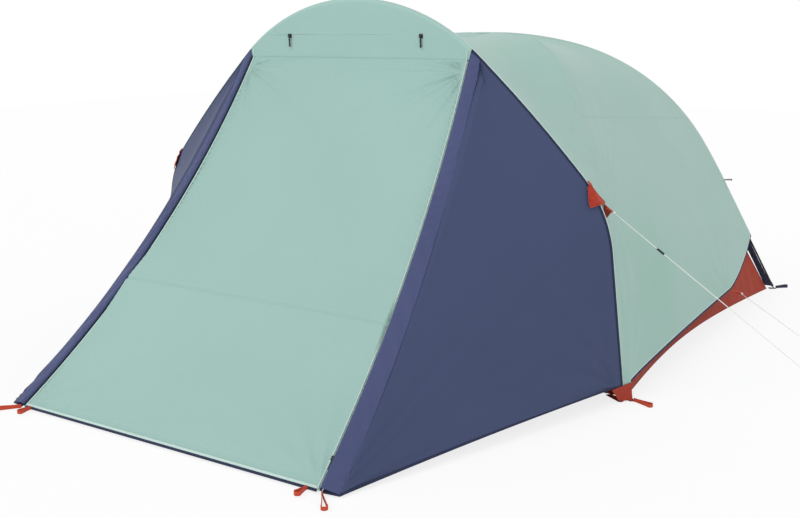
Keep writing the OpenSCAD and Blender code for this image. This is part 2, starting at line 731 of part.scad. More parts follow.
// A plain inner wall between two corners of the plan
wall_stops = concat(rim_stops, [1]);
wall_rise = 5 * gap;
module inner_wall(a, b)
    sheet([
        [for (f = wall_stops) wall_point(mix(fold, 1 - fold, f), rim_z(f) + wall_rise, a, b)],
        [for (f = wall_stops) wall_point(mix(fold, 1 - fold, f), seam_z, a, b)]
    ]);
module right_inner_wall() color("#d9dad6") inner_wall([1, -1], [1, 1]);
module left_inner_wall() color("#d9dad6") inner_wall([-1, 1], [-1, -1]);
module rear_inner_wall() color("#d9dad6") inner_wall([1, 1], [-1, 1]);

// Front wall with its half-moon doorway, drawn flat and leant back
wall_run = [diag_y * (floor_r - inner_seam(-1)[0]), inner_seam(-1)[1]];
wall_tilt = atan2(wall_run[0], wall_run[1]);
wall_l = norm(wall_run);
wall_top = wall_l - 6 * gap;
inner_zip_w = 12;
inner_door_gap = 1;
module at_front_wall()
    translate([0, mid_y - floor_r * diag_y, 0]) rotate([90 - wall_tilt, 0, 0]) children();
function wall_half(l) = mix(floor_r, inner_seam(-1)[0], l / wall_l) * diag_x - 2 * fabric_t;
module half_moon(r, y = inner_hinge_at)
    translate([0, y])
        intersection() {
            circle(r, $fn = 180);
            translate([-r, 0]) square([2 * r, r]);
        }
module front_inner_wall() color("#d9dad6")
    at_front_wall()
        translate([0, 0, -fabric_t])
            linear_extrude(fabric_t)
                difference() {
                    polygon(concat(
                        [
                            for (f = wall_stops)
                                let (l = (rim_z(f) + wall_rise) / cos(wall_tilt))
                                [(2 * f - 1) * wall_half(l), l]
                        ],
                        [[wall_half(wall_l), wall_top], [-wall_half(wall_l), wall_top]]
                    ));
                    half_moon(inner_door_r + inner_zip_w);
                }
module inner_door() color("#c9d3cf")
    at_front_wall()
        translate([0, 0, -fabric_t])
            linear_extrude(fabric_t) half_moon(inner_door_r, inner_hinge_at + inner_door_gap);

// A band of the inner zip, by its angles, distances from the centre and heights over the wall
module inner_band(a1, a2, r1, r2, h1, h2)
    at_front_wall()
        translate([0, inner_hinge_at, 0])
            rotate([0, 0, a1])
                rotate_extrude(angle = a2 - a1, $fn = 180)
                    translate([inner_door_r + r1, h1]) square([r2 - r1, h2 - h1]);
inner_zip_in = 1.5;
inner_slider_a = 4;
module inner_zip() color("#2b3350")
    inner_band(1, 179, inner_zip_in, inner_zip_w - gap, -fabric_t, 0);
module at_inner_zip(a, h)
    at_front_wall()
        translate([0, inner_hinge_at, h])
            rotate([0, 0, a])
                translate([inner_door_r + inner_zip_w / 2, 0, 0]) children();
module inner_zip_slider() color("#3a3c42")
    at_inner_zip(inner_slider_a, gap) {
        translate([-4, -8, 0]) cube([8, 16, 4]);
        translate([-1.5, -2, 4]) cube([3, 4, 2]);
        translate([-2.5, -26, 6]) cube([5, 28, 1.4]);
    }

// Inner roof, one shell over the wall seam
roof_loops = 9;
roof_side = 6;
function roof_s(k, sy) = mix(inner_s(sy) + 0.8, inner_end_s(sy), k / roof_loops);
function roof_corner(i, k) =
    let (c = corners[i], q = under_pole(roof_s(k, c[1]), c[1]))
    inner_corner(q[0], q[1], c[0], c[1]);
function roof_loop(k, t) = [
    for (i = [0:3]) for (j = [0:roof_side - 1])
        let (p = mix(roof_corner(i, k), roof_corner((i + 1) % 4, k), j / roof_side))
        t == 0 ? p : inset(p, t)
];
module inner_roof() color("#d9dad6")
    lofted(concat(
        [for (k = [roof_loops:-1:0]) roof_loop(k, fabric_t)],
        [for (k = [0:roof_loops]) roof_loop(k, 0)]
    ));

// Clips that hang the inner tent from the dome poles
clip_w = 14;
clip_r = pole_d / 2 + clip_wall;
clip_at = [0.2, 0.33, 0.48, 0.68, 0.88];
function edge_gap(q, sy) =
    let (n = [sin(q[2]), cos(q[2])], d = [floor_r - inner_seam(sy)[0], -inner_seam(sy)[1]])
    ((q[0] - floor_r) * d[1] - q[1] * d[0]) / (n[0] * d[1] - n[1] * d[0]);
module clips(half, sy)
    for (f = clip_at) {
        s = f * pole_length(half);
        q = along(half, s, dome_foot);
        low = q[1] < inner_wall_z + 2 * inner_gap;
        reach = low ? edge_gap(q, sy) : norm([q[0], q[1]] - under_pole(s, sy));
        up_leg(q, q[2])
            difference() {
                union() {
                    cylinder(r = clip_r, h = clip_w, center = true);
                    translate([-reach + 1.5, -3, -clip_w / 2]) cube([reach - 4, 6, clip_w]);
                }
                cylinder(d = pole_d + 2 * gap, h = 2 * clip_w, center = true);
            }
    }
module canopy_clips() color("#2b2d33")
    for (s = [-1, 1]) {
        at_dome(s, s) clips(low_half(s), s);
        at_dome(-s, s) clips(high_half(s), s);
    }

// Straps on the ground from the floor's corners to the pole feet, with their grommets
grommet_r = tip_pin_d / 2 + 2.2;
hoop_grommet_r = tip_pin_d / 2 + 0.6;
module ground_strap(from, to, hole_r) {
    run = to - from;
    translate(from)
        rotate([0, 0, atan2(run[1], run[0])])
            difference() {
                union() {
                    translate([0, -strap_w / 2, 0]) cube([norm(run), strap_w, web_t]);
                    translate([norm(run), 0, 0]) cylinder(d = strap_w, h = web_t);
                }
                translate([norm(run), 0, -1]) cylinder(r = hole_r, h = web_t + 2);
            }
}
function dome_foot_at(sy) = [base_w / 2, mid_y + sy * base_d / 2];
function floor_corner(sy) = [floor_r * diag_x, mid_y + sy * floor_r * diag_y];
hoop_foot_at = [hoop_half, hoop_y];
hoop_strap_in = 70;
hoop_strap_near = floor_corner(-1) - [hoop_strap_in, 0.4 * strap_w];
hoop_strap_run = unit(hoop_foot_at - hoop_strap_near);
hoop_strap_from = floor_corner(-1) - [hoop_strap_in, gap + strap_w / 2 * hoop_strap_run[0]];
module corner_straps() color("#2b3350")
    both_sides() {
        for (sy = [-1, 1])
            ground_strap(mix(floor_corner(sy), dome_foot_at(sy), 0.32), dome_foot_at(sy), grommet_r);
        ground_strap(hoop_strap_from, hoop_foot_at, hoop_grommet_r);
    }
module grommet(p, r)
    translate([p[0], p[1], web_t])
        difference() {
            cylinder(r = r + 4, h = 1.2);
            translate([0, 0, -1]) cylinder(r = r, h = 4);
        }
module corner_grommets() color("silver")
    both_sides() {
        grommet(hoop_foot_at, hoop_grommet_r);
        for (sy = [-1, 1]) grommet(dome_foot_at(sy), grommet_r);
    }

// Straps that tie the fly's rear corners down beside the rear legs
rear_strap_w = 35;
module rear_corner_straps() color("#2b3350")
    both_sides()
        at_dome(1, 1)
            up_leg(dome_foot, rear_leg_slope)
                translate([fly_lift - fabric_t, -rear_strap_w / 2, tip_pin_l])
                    cube([web_t, rear_strap_w, rear_hem_s - tip_pin_l - 2 * gap]);

// Stake loops: webbing folded into an eye and sewn at its root, standing on its edge
function tangent_at(r, root, l) = let (b = asin((r - root) / l)) [l - r * sin(b), r * cos(b)];
weld = 0.3;
module eye_solid(r, root, l, start, w) {
    t = tangent_at(r - weld, root, l);
    translate([l, 0, 0]) cylinder(r = r, h = w);
    linear_extrude(w) polygon([[start, -root], [start, root], t, [l, 0], [t[0], -t[1]]]);
}
module stake_loop(l, w = loop_w) {
    root = web_t + 0.8;
    difference() {
        eye_solid(loop_eye_r + web_t, root, l, 0, w);
        translate([0, 0, -1]) eye_solid(loop_eye_r, root - web_t, l, 4 * web_t, w + 2);
    }
}
module loop_towards(p, dir, l, z = 0)
    translate([p[0], p[1], z]) rotate([0, 0, atan2(dir[1], dir[0])]) stake_loop(l);
function beyond(p, dir, d) = [p[0] + d * dir[0], p[1] + d * dir[1]];
porch_corner = porch_row(0)[0];
rear_loop_l = corner_loop_l - strap_w / 2 - gap;
module porch_loop() loop_towards(beyond(porch_corner, loop_dir_porch, 7 * gap), loop_dir_porch, porch_loop_l);
module front_loop()
    loop_towards(beyond(dome_foot_at(-1), loop_dir_front, strap_w / 2 + gap), loop_dir_front, corner_loop_l);
module rear_loop()
    loop_towards(beyond(dome_foot_at(1), loop_dir_rear, strap_w / 2 + gap), loop_dir_rear, rear_loop_l);
module right_porch_loop() color("#cf4b30") porch_loop();
module left_porch_loop() color("#cf4b30") mirror([1, 0, 0]) porch_loop();
module right_front_loop() color("#cf4b30") front_loop();
module left_front_loop() color("#cf4b30") mirror([1, 0, 0]) front_loop();
module right_rear_loop() color("#2b3350") rear_loop();
module left_rear_loop() color("#2b3350") mirror([1, 0, 0]) rear_loop();

// Loops on the door's lower corners
door_loop_x = door_foot_half - 46;
door_loop_l = 48;
door_lip = hem_t / 2 * cos(zip_angle(door_foot_z)) + door_edge * zip_side[1];
module door_loop()
    loop_towards([door_loop_x, door_y - door_lip - gap], [0, -1], door_loop_l, door_foot_z);
module right_door_loop() color("#cf4b30") door_loop();
module left_door_loop() color("#cf4b30") mirror([1, 0, 0]) door_loop();

// Guy-out on the hoop's elbow: two sewn wings that meet at a webbing loop aimed down the guyline
guy_start = [1130, -360, 745];
guy_step = [72, 50, -72];
knot_gap = 0.8;
function hoop_row_at(z) =
    let (s = length_at_z(hoop, hoop_foot, z / cos(hoop_lean), 0, hoop_len))
    1 + floor((s - hoop_hem_s - binding_h) / (hoop_head_s - hoop_hem_s - binding_h) * (porch_rows - 1));
function dome_row_at(z, hem_s, sy) =
    1 + round((dome_at_z(z, sy) - hem_s - binding_h) / (dome_end_s(sy) - hem_s - binding_h) * (rows - 1));
wing_lift = fly_lift + fabric_t + 5 * gap;
wing_drop = 70;
guy_row = hoop_row_at(guy_z);
guy_dome_row = dome_row_at(guy_z - wing_drop, dome_hem_s, -1);
hoop_wing = [for (k = [1, 0]) hoop_point(hoop_station(guy_row + k), wing_lift)];
dome_wing = [for (k = [0, -1]) dome_point(dome_station(guy_dome_row + k, dome_hem_s, -1), 1, -1, wing_lift)];
guy_across_at = 0.36;
guy_foot = mix(hoop_wing[0] + hoop_wing[1], dome_wing[0] + dome_wing[1], guy_across_at) / 2;
guy_root = inset(guy_foot, -guy_stand);
guy_aim = unit(guy_start - guy_root);
guy_loop_w = 14;
guy_seam = 2.2;
guy_loop_l = norm(guy_start - guy_root) - guy_seam - knot_gap;
module guy_wing(base) {
    tip = guy_root - gap * guy_aim;
    half = 2 * unit(base[1] - base[0]);
    sheet([base, [tip - half, tip + half]]);
}
module guy_patches() color("#cf4b30")
    both_sides() {
        guy_wing(hoop_wing);
        guy_wing(dome_wing);
    }

// A webbing tab along a direction, with an eye near its end
module web_tab(from, aim, l, w, eye) {
    across = unit([aim[1], -aim[0], 0]);
    rim = w * 0.28;
    framed(from, aim, across, cross(aim, across))
        linear_extrude(web_t, center = true)
            difference() {
                translate([0, -w / 2]) square([l, w]);
                translate([l - eye - rim, -w / 2 + rim]) square([eye, w - 2 * rim]);
            }
}
module guy_loops() color("#cf4b30")
    both_sides()
        web_tab(guy_root + guy_seam * guy_aim, guy_aim, guy_loop_l, guy_loop_w, 14);

// Loops on the rear ridges, one to each side
rear_guy_z = 600;
rear_guy_row = dome_row_at(rear_guy_z, rear_hem_s, 1);
rear_guy_l = 42;
module rear_guy_loops() color("#22242a")
    both_sides()
        web_tab(
            dome_point(dome_station(rear_guy_row, rear_hem_s, 1), 1, 1, fly_lift + 2 * gap),
            [diag_x, diag_y, 0], rear_guy_l, guy_loop_w, 24
        );

// Tabs at the side hems, where a line ties the fly out
hem_start = [1262, 1050, 127];
hem_tie = mix(side_row(0)[6], side_row(0)[7], 0.86);
hem_aim = unit(hem_start - hem_tie);
hem_tab_w = 16;
tab_clear = 2.6;
hem_tab_l = norm(hem_start - hem_tie) - tab_clear - knot_gap;
module hem_tabs() color("#cf4b30")
    both_sides()
        web_tab(hem_tie + tab_clear * hem_aim, hem_aim, hem_tab_l, hem_tab_w, 12);

// Toggles for the rolled-up door, hanging on pins in tabs on the brow
toggle_z = 1416;
toggle_out = 6.5;
toggle_ring_r = 3.6;
toggle_w = 7;
toggle_l = 46;
pin_r = 1.5;
plate_w = 18;
cheek_t = 2;
module at_toggle()
    translate([toggle_x, hoop_y - toggle_z * tan(hoop_lean) - brow_ahead - fabric_t, toggle_z])
        rotate([hoop_lean, 0, 0]) children();
module pin_bore(r, l) rotate([0, 90, 0]) cylinder(r = r, h = l, center = true);
module toggle_tab()
    at_toggle() {
        translate([-plate_w / 2, -web_t - gap, -plate_w / 2]) cube([plate_w, web_t, plate_w]);
        for (side = [-1, 1])
            translate([side * (toggle_w / 2 + gap + cheek_t / 2) - cheek_t / 2, -toggle_out - 3, -3])
                cube([cheek_t, toggle_out + 1, 6]);
        translate([0, -toggle_out, 0]) pin_bore(pin_r, toggle_w + 2 * cheek_t);
    }
module toggle()
    at_toggle() translate([0, -toggle_out, 0]) {
        difference() {
            union() {
                pin_bore(toggle_ring_r, toggle_w);
                translate([-2, -1, -14]) cube([4, 2, 13]);
            }
            pin_bore(pin_r + gap, 2 * toggle_w);
        }
        translate([0, 0, -toggle_l])
            rotate_extrude()
                polygon([[0, 0], [3.4, 0], [4, 2], [3, 12], [3, 22], [4, 32], [3, 33.5], [0, 33.5]]);
    }
module toggle_tabs() color("#a3bfb8") both_sides() toggle_tab();
module right_toggle() color("#22242a") toggle();
module left_toggle() color("#22242a") mirror([1, 0, 0]) toggle();

// Guyline from the right guy-out loop to its round turn on the ground, and its return strand
guy_route = [
    [1130, -360, 745], [1202, -310, 673], [1274, -260, 601], [1346, -210, 529], [1418, -160, 457],
    [1490, -110, 385], [1562, -60, 313], [1634, -10, 241], [1706, 40, 169], [1778, 90, 97], [1850, 140, 25],
    [1854, 146, 19], [1855, 154, 15], [1851, 163, 14], [1844, 169, 15], [1837, 172, 19], [1829, 170, 25]
];
return_route = [
    [1828, 169, 26], [1762, 120, 94], [1696, 69, 162], [1630, 19, 231], [1564, -32, 299],
    [1498, -82, 367], [1431, -133, 436], [1365, -183, 504], [1295, -237, 576]
];
module guyline() color("#e8e8e4") cord(guy_route, cord_d);
module guyline_return() color("#e8e8e4") cord(return_route, cord_d);

// Tensioner that slides on the guyline and holds the return strand
tensioner_at = 2.25;
tensioner_l = 34;
tensioner_d = 9;
strand_gap = 7;
cord_fit = 1.2;
guy_dir = unit(guy_step);
guy_across = unit([-guy_step[1], guy_step[0], 0]);
module strand_bore(x)
    translate([x, 0, 0]) cylinder(d = cord_d + cord_fit, h = 2 * tensioner_l, center = true);
module guyline_tensioner() color("#22242a")
    framed(guy_start + tensioner_at * guy_step, guy_across, cross(guy_dir, guy_across), guy_dir)
        difference() {
            linear_extrude(tensioner_l, center = true) {
                translate([0, -tensioner_d / 2]) square([strand_gap, tensioner_d]);
                for (x = [0, strand_gap]) translate([x, 0]) circle(d = tensioner_d);
            }
            for (x = [0, strand_gap]) strand_bore(x);
        }

// Line at the right side hem, ending in a round turn on the ground
hem_route = [
    [1262, 1050, 127], [1347, 986, 103], [1432, 922, 79], [1517, 858, 55], [1602, 794, 31], [1687, 730, 7],
    [1697, 725, 4], [1707, 725, 3], [1714, 732, 3], [1715, 742, 3], [1709, 750, 4], [1699, 753, 6],
    [1684, 756, 11], [1660, 766, 17], [1637, 776, 23]
];
module hem_guyline() color("#e8e8e4") cord(hem_route, cord_d);

hoop_pole();
lower_dome_pole();
upper_dome_pole();
pole_ferrules();
pole_tips();
crown_hub();
front_fly_roof();
left_fly_panel();
right_fly_panel();
rear_fly_panel();
fly_crown_patch();
fly_brow();
fly_hems();
left_porch_panel();
right_porch_panel();
left_zip_flap();
right_zip_flap();
left_zip();
right_zip();
left_zip_slider();
right_zip_slider();
door_panel();
door_hem();
door_zip_tapes();
floor_tub();
front_inner_wall();
left_inner_wall();
right_inner_wall();
rear_inner_wall();
inner_roof();
inner_door();
inner_zip();
inner_zip_slider();
canopy_clips();
corner_straps();
corner_grommets();
rear_corner_straps();
left_porch_loop();
right_porch_loop();
left_front_loop();
right_front_loop();
left_rear_loop();
right_rear_loop();
left_door_loop();
right_door_loop();
guy_patches();
guy_loops();
rear_guy_loops();
hem_tabs();
toggle_tabs();
left_toggle();
right_toggle();
guyline();
guyline_return();
guyline_tensioner();
hem_guyline();
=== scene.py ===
import math

import bpy
import numpy as np
from mathutils import Matrix, Vector


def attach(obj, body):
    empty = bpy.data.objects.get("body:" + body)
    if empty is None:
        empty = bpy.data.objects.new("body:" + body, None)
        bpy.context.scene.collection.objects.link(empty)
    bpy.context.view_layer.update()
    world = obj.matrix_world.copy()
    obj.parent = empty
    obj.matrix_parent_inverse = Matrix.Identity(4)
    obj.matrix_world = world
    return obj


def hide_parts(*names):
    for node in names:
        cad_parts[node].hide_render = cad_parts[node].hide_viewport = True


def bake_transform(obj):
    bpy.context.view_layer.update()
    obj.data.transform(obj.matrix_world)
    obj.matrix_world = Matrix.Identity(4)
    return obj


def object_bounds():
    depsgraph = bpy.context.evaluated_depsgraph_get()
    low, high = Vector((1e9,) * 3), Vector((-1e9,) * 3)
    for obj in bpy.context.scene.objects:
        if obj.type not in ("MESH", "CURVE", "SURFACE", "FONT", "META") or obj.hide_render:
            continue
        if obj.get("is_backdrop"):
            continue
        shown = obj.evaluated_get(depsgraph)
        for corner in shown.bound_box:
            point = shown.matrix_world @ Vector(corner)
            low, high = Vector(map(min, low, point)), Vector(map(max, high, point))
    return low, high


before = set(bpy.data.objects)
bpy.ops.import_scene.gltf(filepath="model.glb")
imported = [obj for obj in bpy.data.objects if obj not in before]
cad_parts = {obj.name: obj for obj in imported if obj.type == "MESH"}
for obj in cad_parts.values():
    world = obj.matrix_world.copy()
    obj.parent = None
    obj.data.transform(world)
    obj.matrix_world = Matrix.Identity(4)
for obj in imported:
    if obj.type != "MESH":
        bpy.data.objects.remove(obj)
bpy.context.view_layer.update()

# Plan and poles, in metres: the same driving sizes as the CAD
BASE_W, BASE_D = 2.5, 2.15
HOOP_Y, HOOP_AHEAD, PORCH_D = -0.420118, 0.03, 1.322
FRONT_Y = HOOP_Y + HOOP_AHEAD
MID_Y = FRONT_Y + BASE_D / 2
DOOR_Y = HOOP_Y - PORCH_D
HALF_DIAG = math.hypot(BASE_W, BASE_D) / 2
DIAG_X, DIAG_Y = BASE_W / 2 / HALF_DIAG, BASE_D / 2 / HALF_DIAG
HOOP_HALF, HOOP_TOP, CROWN_Z, POLE_OVER = 1.216, 1.556, 1.392, 0.0101
LEAN = math.radians(2.8)
FLY_LIFT = 0.0155
CORE_Z, CORE_FRONT = 0.35, HOOP_Y - 0.6
SAG, ROOF_SAG = 0.028, 0.1
BINDING = 0.014
HEM_FRONT_Z, HEM_TIE_Z, HEM_TIE_AT = 0.066, 0.128, 0.68
HEM_REAR_Z, HEM_BACK_Z = 0.3, 0.12
DOOR_FOOT_HALF, DOOR_HEAD_HALF, DOOR_SAG, DOOR_FOOT_Z = 0.728, 0.561, 0.095, 0.006
HEAD_DROP, BROW_AHEAD, BROW_LIP = 0.04, 0.0096, 0.010
TAPE_W, FLAP_W, FLAP_STAND = 0.009, 0.066, 0.0135
PANEL_EDGE, DOOR_EDGE = TAPE_W + 0.0028, TAPE_W + 0.0003
INNER_GAP, INNER_WALL_Z, TUB_H, TUB_EAR, FLOOR_BOW = 0.045, 0.88, 0.15, 0.13, 0.085
INNER_DOOR_R, INNER_HINGE = 0.6, 0.19
FLOOR_R = HALF_DIAG - 0.042
STRAP_W, LOOP_W, LOOP_T, EYE_R = 0.026, 0.014, 0.002, 0.011
CORD_D = 0.003
# Thicknesses of the fly, the inner tent and tapes, the floor, the hems and flat webbing
FLY_T, INNER_T, TUB_T, HEM_BAND_T, WEB_T = 0.0012, 0.001, 0.0014, 0.003, 0.0016
TINY = 1e-12
SIDES = (("right", 1), ("left", -1))
CORNERS = ((-1, -1), (1, -1), (1, 1), (-1, 1))


# Colours written as sRGB
def rgb(text):
    part = [int(text[i:i + 2], 16) / 255 for i in (1, 3, 5)]
    return tuple(c / 12.92 if c < 0.04045 else ((c + 0.055) / 1.055) ** 2.4 for c in part)


# The brow's mint is painted lighter than the door's to offset the shade on its steeper face
MINT, MINT_GREEN, DOOR_MINT, BROW_MINT_WITH_PAINTED_LIGHT = "#A4C1BA", "#97BDB1", "#9DC0B8", "#A4C7C0"
# The flaps' navy is painted lighter than the porch panels' for the light their faces catch
NAVY, FLAP_NAVY_WITH_PAINTED_LIGHT, BINDING_NAVY = "#454F6F", "#51587F", "#232A45"
RUST, WEB_RED, INNER_CLOTH = "#9F3B2C", "#C4452D", "#D5D9D6"
# Pale mint: the door's piping, and painted highlights along the hoop's edge and on the hems' folds
PIPING_AND_HIGHLIGHT, CORD_WHITE, BLACK = "#C3DDD6", "#F8F8F5", "#1C1E22"


# Poles
def half_pole(leg, slope, bend_r, shoulder, crown, half, height):
    """Half of a pole, foot to crown: a straight leg, a bend and two arcs that meet the given height."""
    slope, shoulder, crown = (math.radians(a) for a in (slope, shoulder, crown))
    x = half - leg * math.cos(slope) - bend_r * (math.sin(slope) - math.sin(shoulder))
    z = height - leg * math.sin(slope) - bend_r * (math.cos(shoulder) - math.cos(slope))
    sx, sz = math.sin(shoulder) - math.sin(crown), math.cos(crown) - math.cos(shoulder)
    cx, cz = math.sin(crown), 1 - math.cos(crown)
    det = sx * cz - cx * sz
    shoulder_r, crown_r = (x * cz - z * cx) / det, (sx * z - sz * x) / det
    segments = [(leg, slope, 0), (bend_r * (slope - shoulder), slope, bend_r),
                (shoulder_r * (shoulder - crown), shoulder, shoulder_r), (crown_r * crown, crown, crown_r)]
    return {"half": half, "segments": segments, "length": sum(s[0] for s in segments)}


def segment(x, z, slope, r, d):
    """x, z and slope after a length d of a straight piece, or of a bend of radius r."""
    if r == 0:
        return x - d * math.cos(slope), z + d * math.sin(slope), slope + 0 * d
    end = slope - d / r
    return x - r * (math.sin(slope) - np.sin(end)), z + r * (np.cos(end) - math.cos(slope)), end


def along(pole, s):
    """x, z and slope after a length s from the pole's foot."""
    s = np.asarray(s, float)
    x, z, start = pole["half"], 0.0, 0.0
    found = [np.zeros_like(s)] * 3
    for length, slope, r in pole["segments"]:
        use = s >= start if start else s > -1
        found = [np.where(use, new, old) for new, old in zip(segment(x, z, slope, r, s - start), found)]
        x, z, _ = segment(x, z, slope, r, length)
        start += length
    return found


HOOP = half_pole(0.6, 84.5, 0.5, 48.5, 42, HOOP_HALF, HOOP_TOP)
DOME_HALVES = {-1: (0.39, 70.5, 2.13, 44, 4), 1: (0.69, 60.8, 3.9, 57, 14)}
DOME = {sy: half_pole(*half, HALF_DIAG, CROWN_Z + POLE_OVER) for sy, half in DOME_HALVES.items()}
DOME_LOW = {sy: half_pole(*half, HALF_DIAG, CROWN_Z) for sy, half in DOME_HALVES.items()}


def length_at(pole, value, axis):
    """How far from its foot a pole reaches an x, with axis 0, or a height, with axis 1."""
    s = np.linspace(0, pole["length"], 4001)
    q = along(pole, s)[axis]
    return np.interp(value, q, s) if axis else np.interp(-np.asarray(value), -q, s)


def points(x, y, z):
    return np.stack(np.broadcast_arrays(np.asarray(x, float), y, z), -1)


def hoop_point(s, lift=FLY_LIFT):
    x, z, h = along(HOOP, s)
    up = z + lift * np.cos(h)
    return points(x + lift * np.sin(h), HOOP_Y - up * math.sin(LEAN), up * math.cos(LEAN))


def dome_point(s, sx, sy, lift=FLY_LIFT):
    x, z, h = along(DOME[sy], s)
    r = x + lift * np.sin(h)
    return points(sx * r * DIAG_X, MID_Y + sy * r * DIAG_Y, z + lift * np.cos(h))


def core_of(P):
    """The point of the tent's core line that faces each point."""
    return points(0, np.clip(P[..., 1], CORE_FRONT, MID_Y), CORE_Z)


def inset(p, t):
    """Points moved by t towards the core line."""
    d = core_of(p) - p
    return p + np.asarray(t)[..., None] * d / np.linalg.norm(d, axis=-1, keepdims=True)


def mix(a, b, t):
    return a + (b - a) * (np.asarray(t)[..., None] if np.ndim(a) and np.shape(a)[-1:] == (3,) else t)


def between_corners(c, a, b):
    return mix(mix(c[0], c[1], a), mix(c[3], c[2], a), b)


def unit(v, tiny=0.0):
    return v / (np.linalg.norm(v, axis=-1, keepdims=True) + tiny)


def clamp(t):
    return np.clip(t, 0, 1)


def smooth(t):
    t = clamp(t)
    return t * t * (3 - 2 * t)


def arch(t):
    """A rise from nought to one and back."""
    return np.sin(np.pi * t)


def grid(nf, nt, t0=0.0, t1=1.0, f0=0.0, f1=1.0):
    """Shares across and up a panel."""
    return np.meshgrid(np.linspace(f0, f1, nf), np.linspace(t0, t1, nt))


def bump(x, centre, width):
    return np.exp(-((x - centre) / width) ** 2)


def waves(u, v, seed, count, low, high):
    """Smooth noise of unit height over two lengths: a count of waves, from low to high of them in a metre."""
    rng = np.random.default_rng(seed)
    out = np.zeros(np.broadcast(u, v).shape)
    for _ in range(count):
        a, f, p = rng.uniform(0, 2 * math.pi), rng.uniform(low, high), rng.uniform(0, 2 * math.pi)
        out += np.sin(2 * math.pi * f * (u * math.cos(a) + v * math.sin(a)) + p)
    return out / math.sqrt(count)


def normals(P):
    du, dv = np.gradient(P, axis=1), np.gradient(P, axis=0)
    return unit(np.cross(du, dv), TINY)


def outward(P):
    """Unit normals of a grid, turned away from the core line."""
    n = normals(P)
    return n if np.sum(n * (P - core_of(P))) > 0 else -n


def pushed(P, folds):
    """A grid moved out along its normals."""
    return P + outward(P) * folds[..., None]


def lengths(P):
    """Arc lengths across and up a grid, in metres."""
    u = np.cumsum(np.linalg.norm(np.diff(P, axis=1, prepend=P[:, :1]), axis=-1), 1)
    v = np.cumsum(np.linalg.norm(np.diff(P, axis=0, prepend=P[:1]), axis=-1), 0)
    return u, v


def run_along(path):
    """Lengths from a path's start to each of its points."""
    return np.cumsum(np.linalg.norm(np.diff(path, axis=0, prepend=path[:1]), axis=1))


def at_runs(path, at):
    """Points at given lengths along a path."""
    run = run_along(path)
    return np.stack([np.interp(at, run, path[:, i]) for i in range(path.shape[1])], -1)


# Materials
def put(node, **values):
    """Set a node's inputs, or else its options, by name."""
    for key, value in values.items():
        socket = key.replace("_", " ")
        if socket in node.inputs:
            node.inputs[socket].default_value = value
        else:
            setattr(node, key, value)
    return node


def add(tree, kind, **values):
    return put(tree.nodes.new("ShaderNode" + kind), **values)


def wire(tree, *joins):
    """Join nodes, each time from an output to an input."""
    for a, out, b, into in joins:
        tree.links.new(a.outputs[out], b.inputs[into])


def new_material(name):
    mat = bpy.data.materials.new(name)
    mat.use_nodes = True
    return mat, mat.node_tree, mat.node_tree.nodes["Principled BSDF"]


def two_colours(tree, low, high, colour, other):
    """A ramp from one colour to another between two levels."""
    ramp = add(tree, "ValToRGB")
    for end, level, text in zip(ramp.color_ramp.elements, (low, high), (colour, other)):
        end.position, end.color = level, (*rgb(text), 1)
    return ramp


def bands(tree, pitch, axis, **values):
    """Bands along one direction of a piece's UVs, at a pitch in metres."""
    return add(tree, "TexWave", wave_type="BANDS", bands_direction=axis, Scale=1 / pitch / 20 * math.pi, **values)


def cloth_material(name, colour, other, patch=1.6, weave=0.00045, weave_depth=0.12, crinkle=0.25, crinkle_scale=26,
                   rough=0.62, sheen=0.15, shine=0.3):
    """Coated woven cloth: two close colours in large soft patches, a fine plain weave and a slight crinkle."""
    mat, tree, bsdf = new_material(name)
    at = add(tree, "TexCoord")
    cloud = add(tree, "TexNoise", Scale=patch, Detail=2.0, Roughness=0.5)
    ramp = two_colours(tree, 0.25, 0.75, colour, other)
    warp, weft = bands(tree, weave, "X"), bands(tree, weave, "Y")
    both = add(tree, "Math", operation="MULTIPLY")
    fine = add(tree, "Bump", Strength=weave_depth, Distance=0.0003)
    folds = add(tree, "TexNoise", Scale=crinkle_scale, Detail=4.0, Roughness=0.55, Distortion=0.6)
    soft = add(tree, "Bump", Strength=crinkle, Distance=0.006)
    wire(tree, (at, "Object", cloud, "Vector"), (cloud, "Fac", ramp, "Fac"), (ramp, "Color", bsdf, "Base Color"),
         (at, "UV", warp, "Vector"), (at, "UV", weft, "Vector"), (warp, "Fac", both, 0), (weft, "Fac", both, 1),
         (both, 0, fine, "Height"), (at, "Object", folds, "Vector"), (folds, "Fac", soft, "Height"),
         (fine, "Normal", soft, "Normal"), (soft, "Normal", bsdf, "Normal"))
    put(bsdf, Roughness=rough, Sheen_Weight=sheen, Sheen_Roughness=0.4, Specular_IOR_Level=shine)
    return mat


def web_material(name, colour, edge, rib=0.0011):
    """Woven tape or webbing: ribs across its length and paler wear."""
    mat, tree, bsdf = new_material(name)
    at = add(tree, "TexCoord")
    ribs = bands(tree, rib, "X", Distortion=0.4)
    wear = add(tree, "TexNoise", Scale=60.0, Detail=3.0)
    part = add(tree, "Math", operation="MULTIPLY")
    blend = add(tree, "MixRGB", Color1=(*rgb(colour), 1), Color2=(*rgb(edge), 1))
    height = add(tree, "Bump", Strength=0.5, Distance=0.0006)
    wire(tree, (at, "UV", ribs, "Vector"), (at, "Object", wear, "Vector"), (ribs, "Fac", part, 0),
         (wear, "Fac", part, 1), (part, 0, blend, "Fac"), (blend, "Color", bsdf, "Base Color"),
         (ribs, "Fac", height, "Height"), (height, "Normal", bsdf, "Normal"))
    put(bsdf, Roughness=0.75, Sheen_Weight=0.06, Specular_IOR_Level=0.2)
    return mat


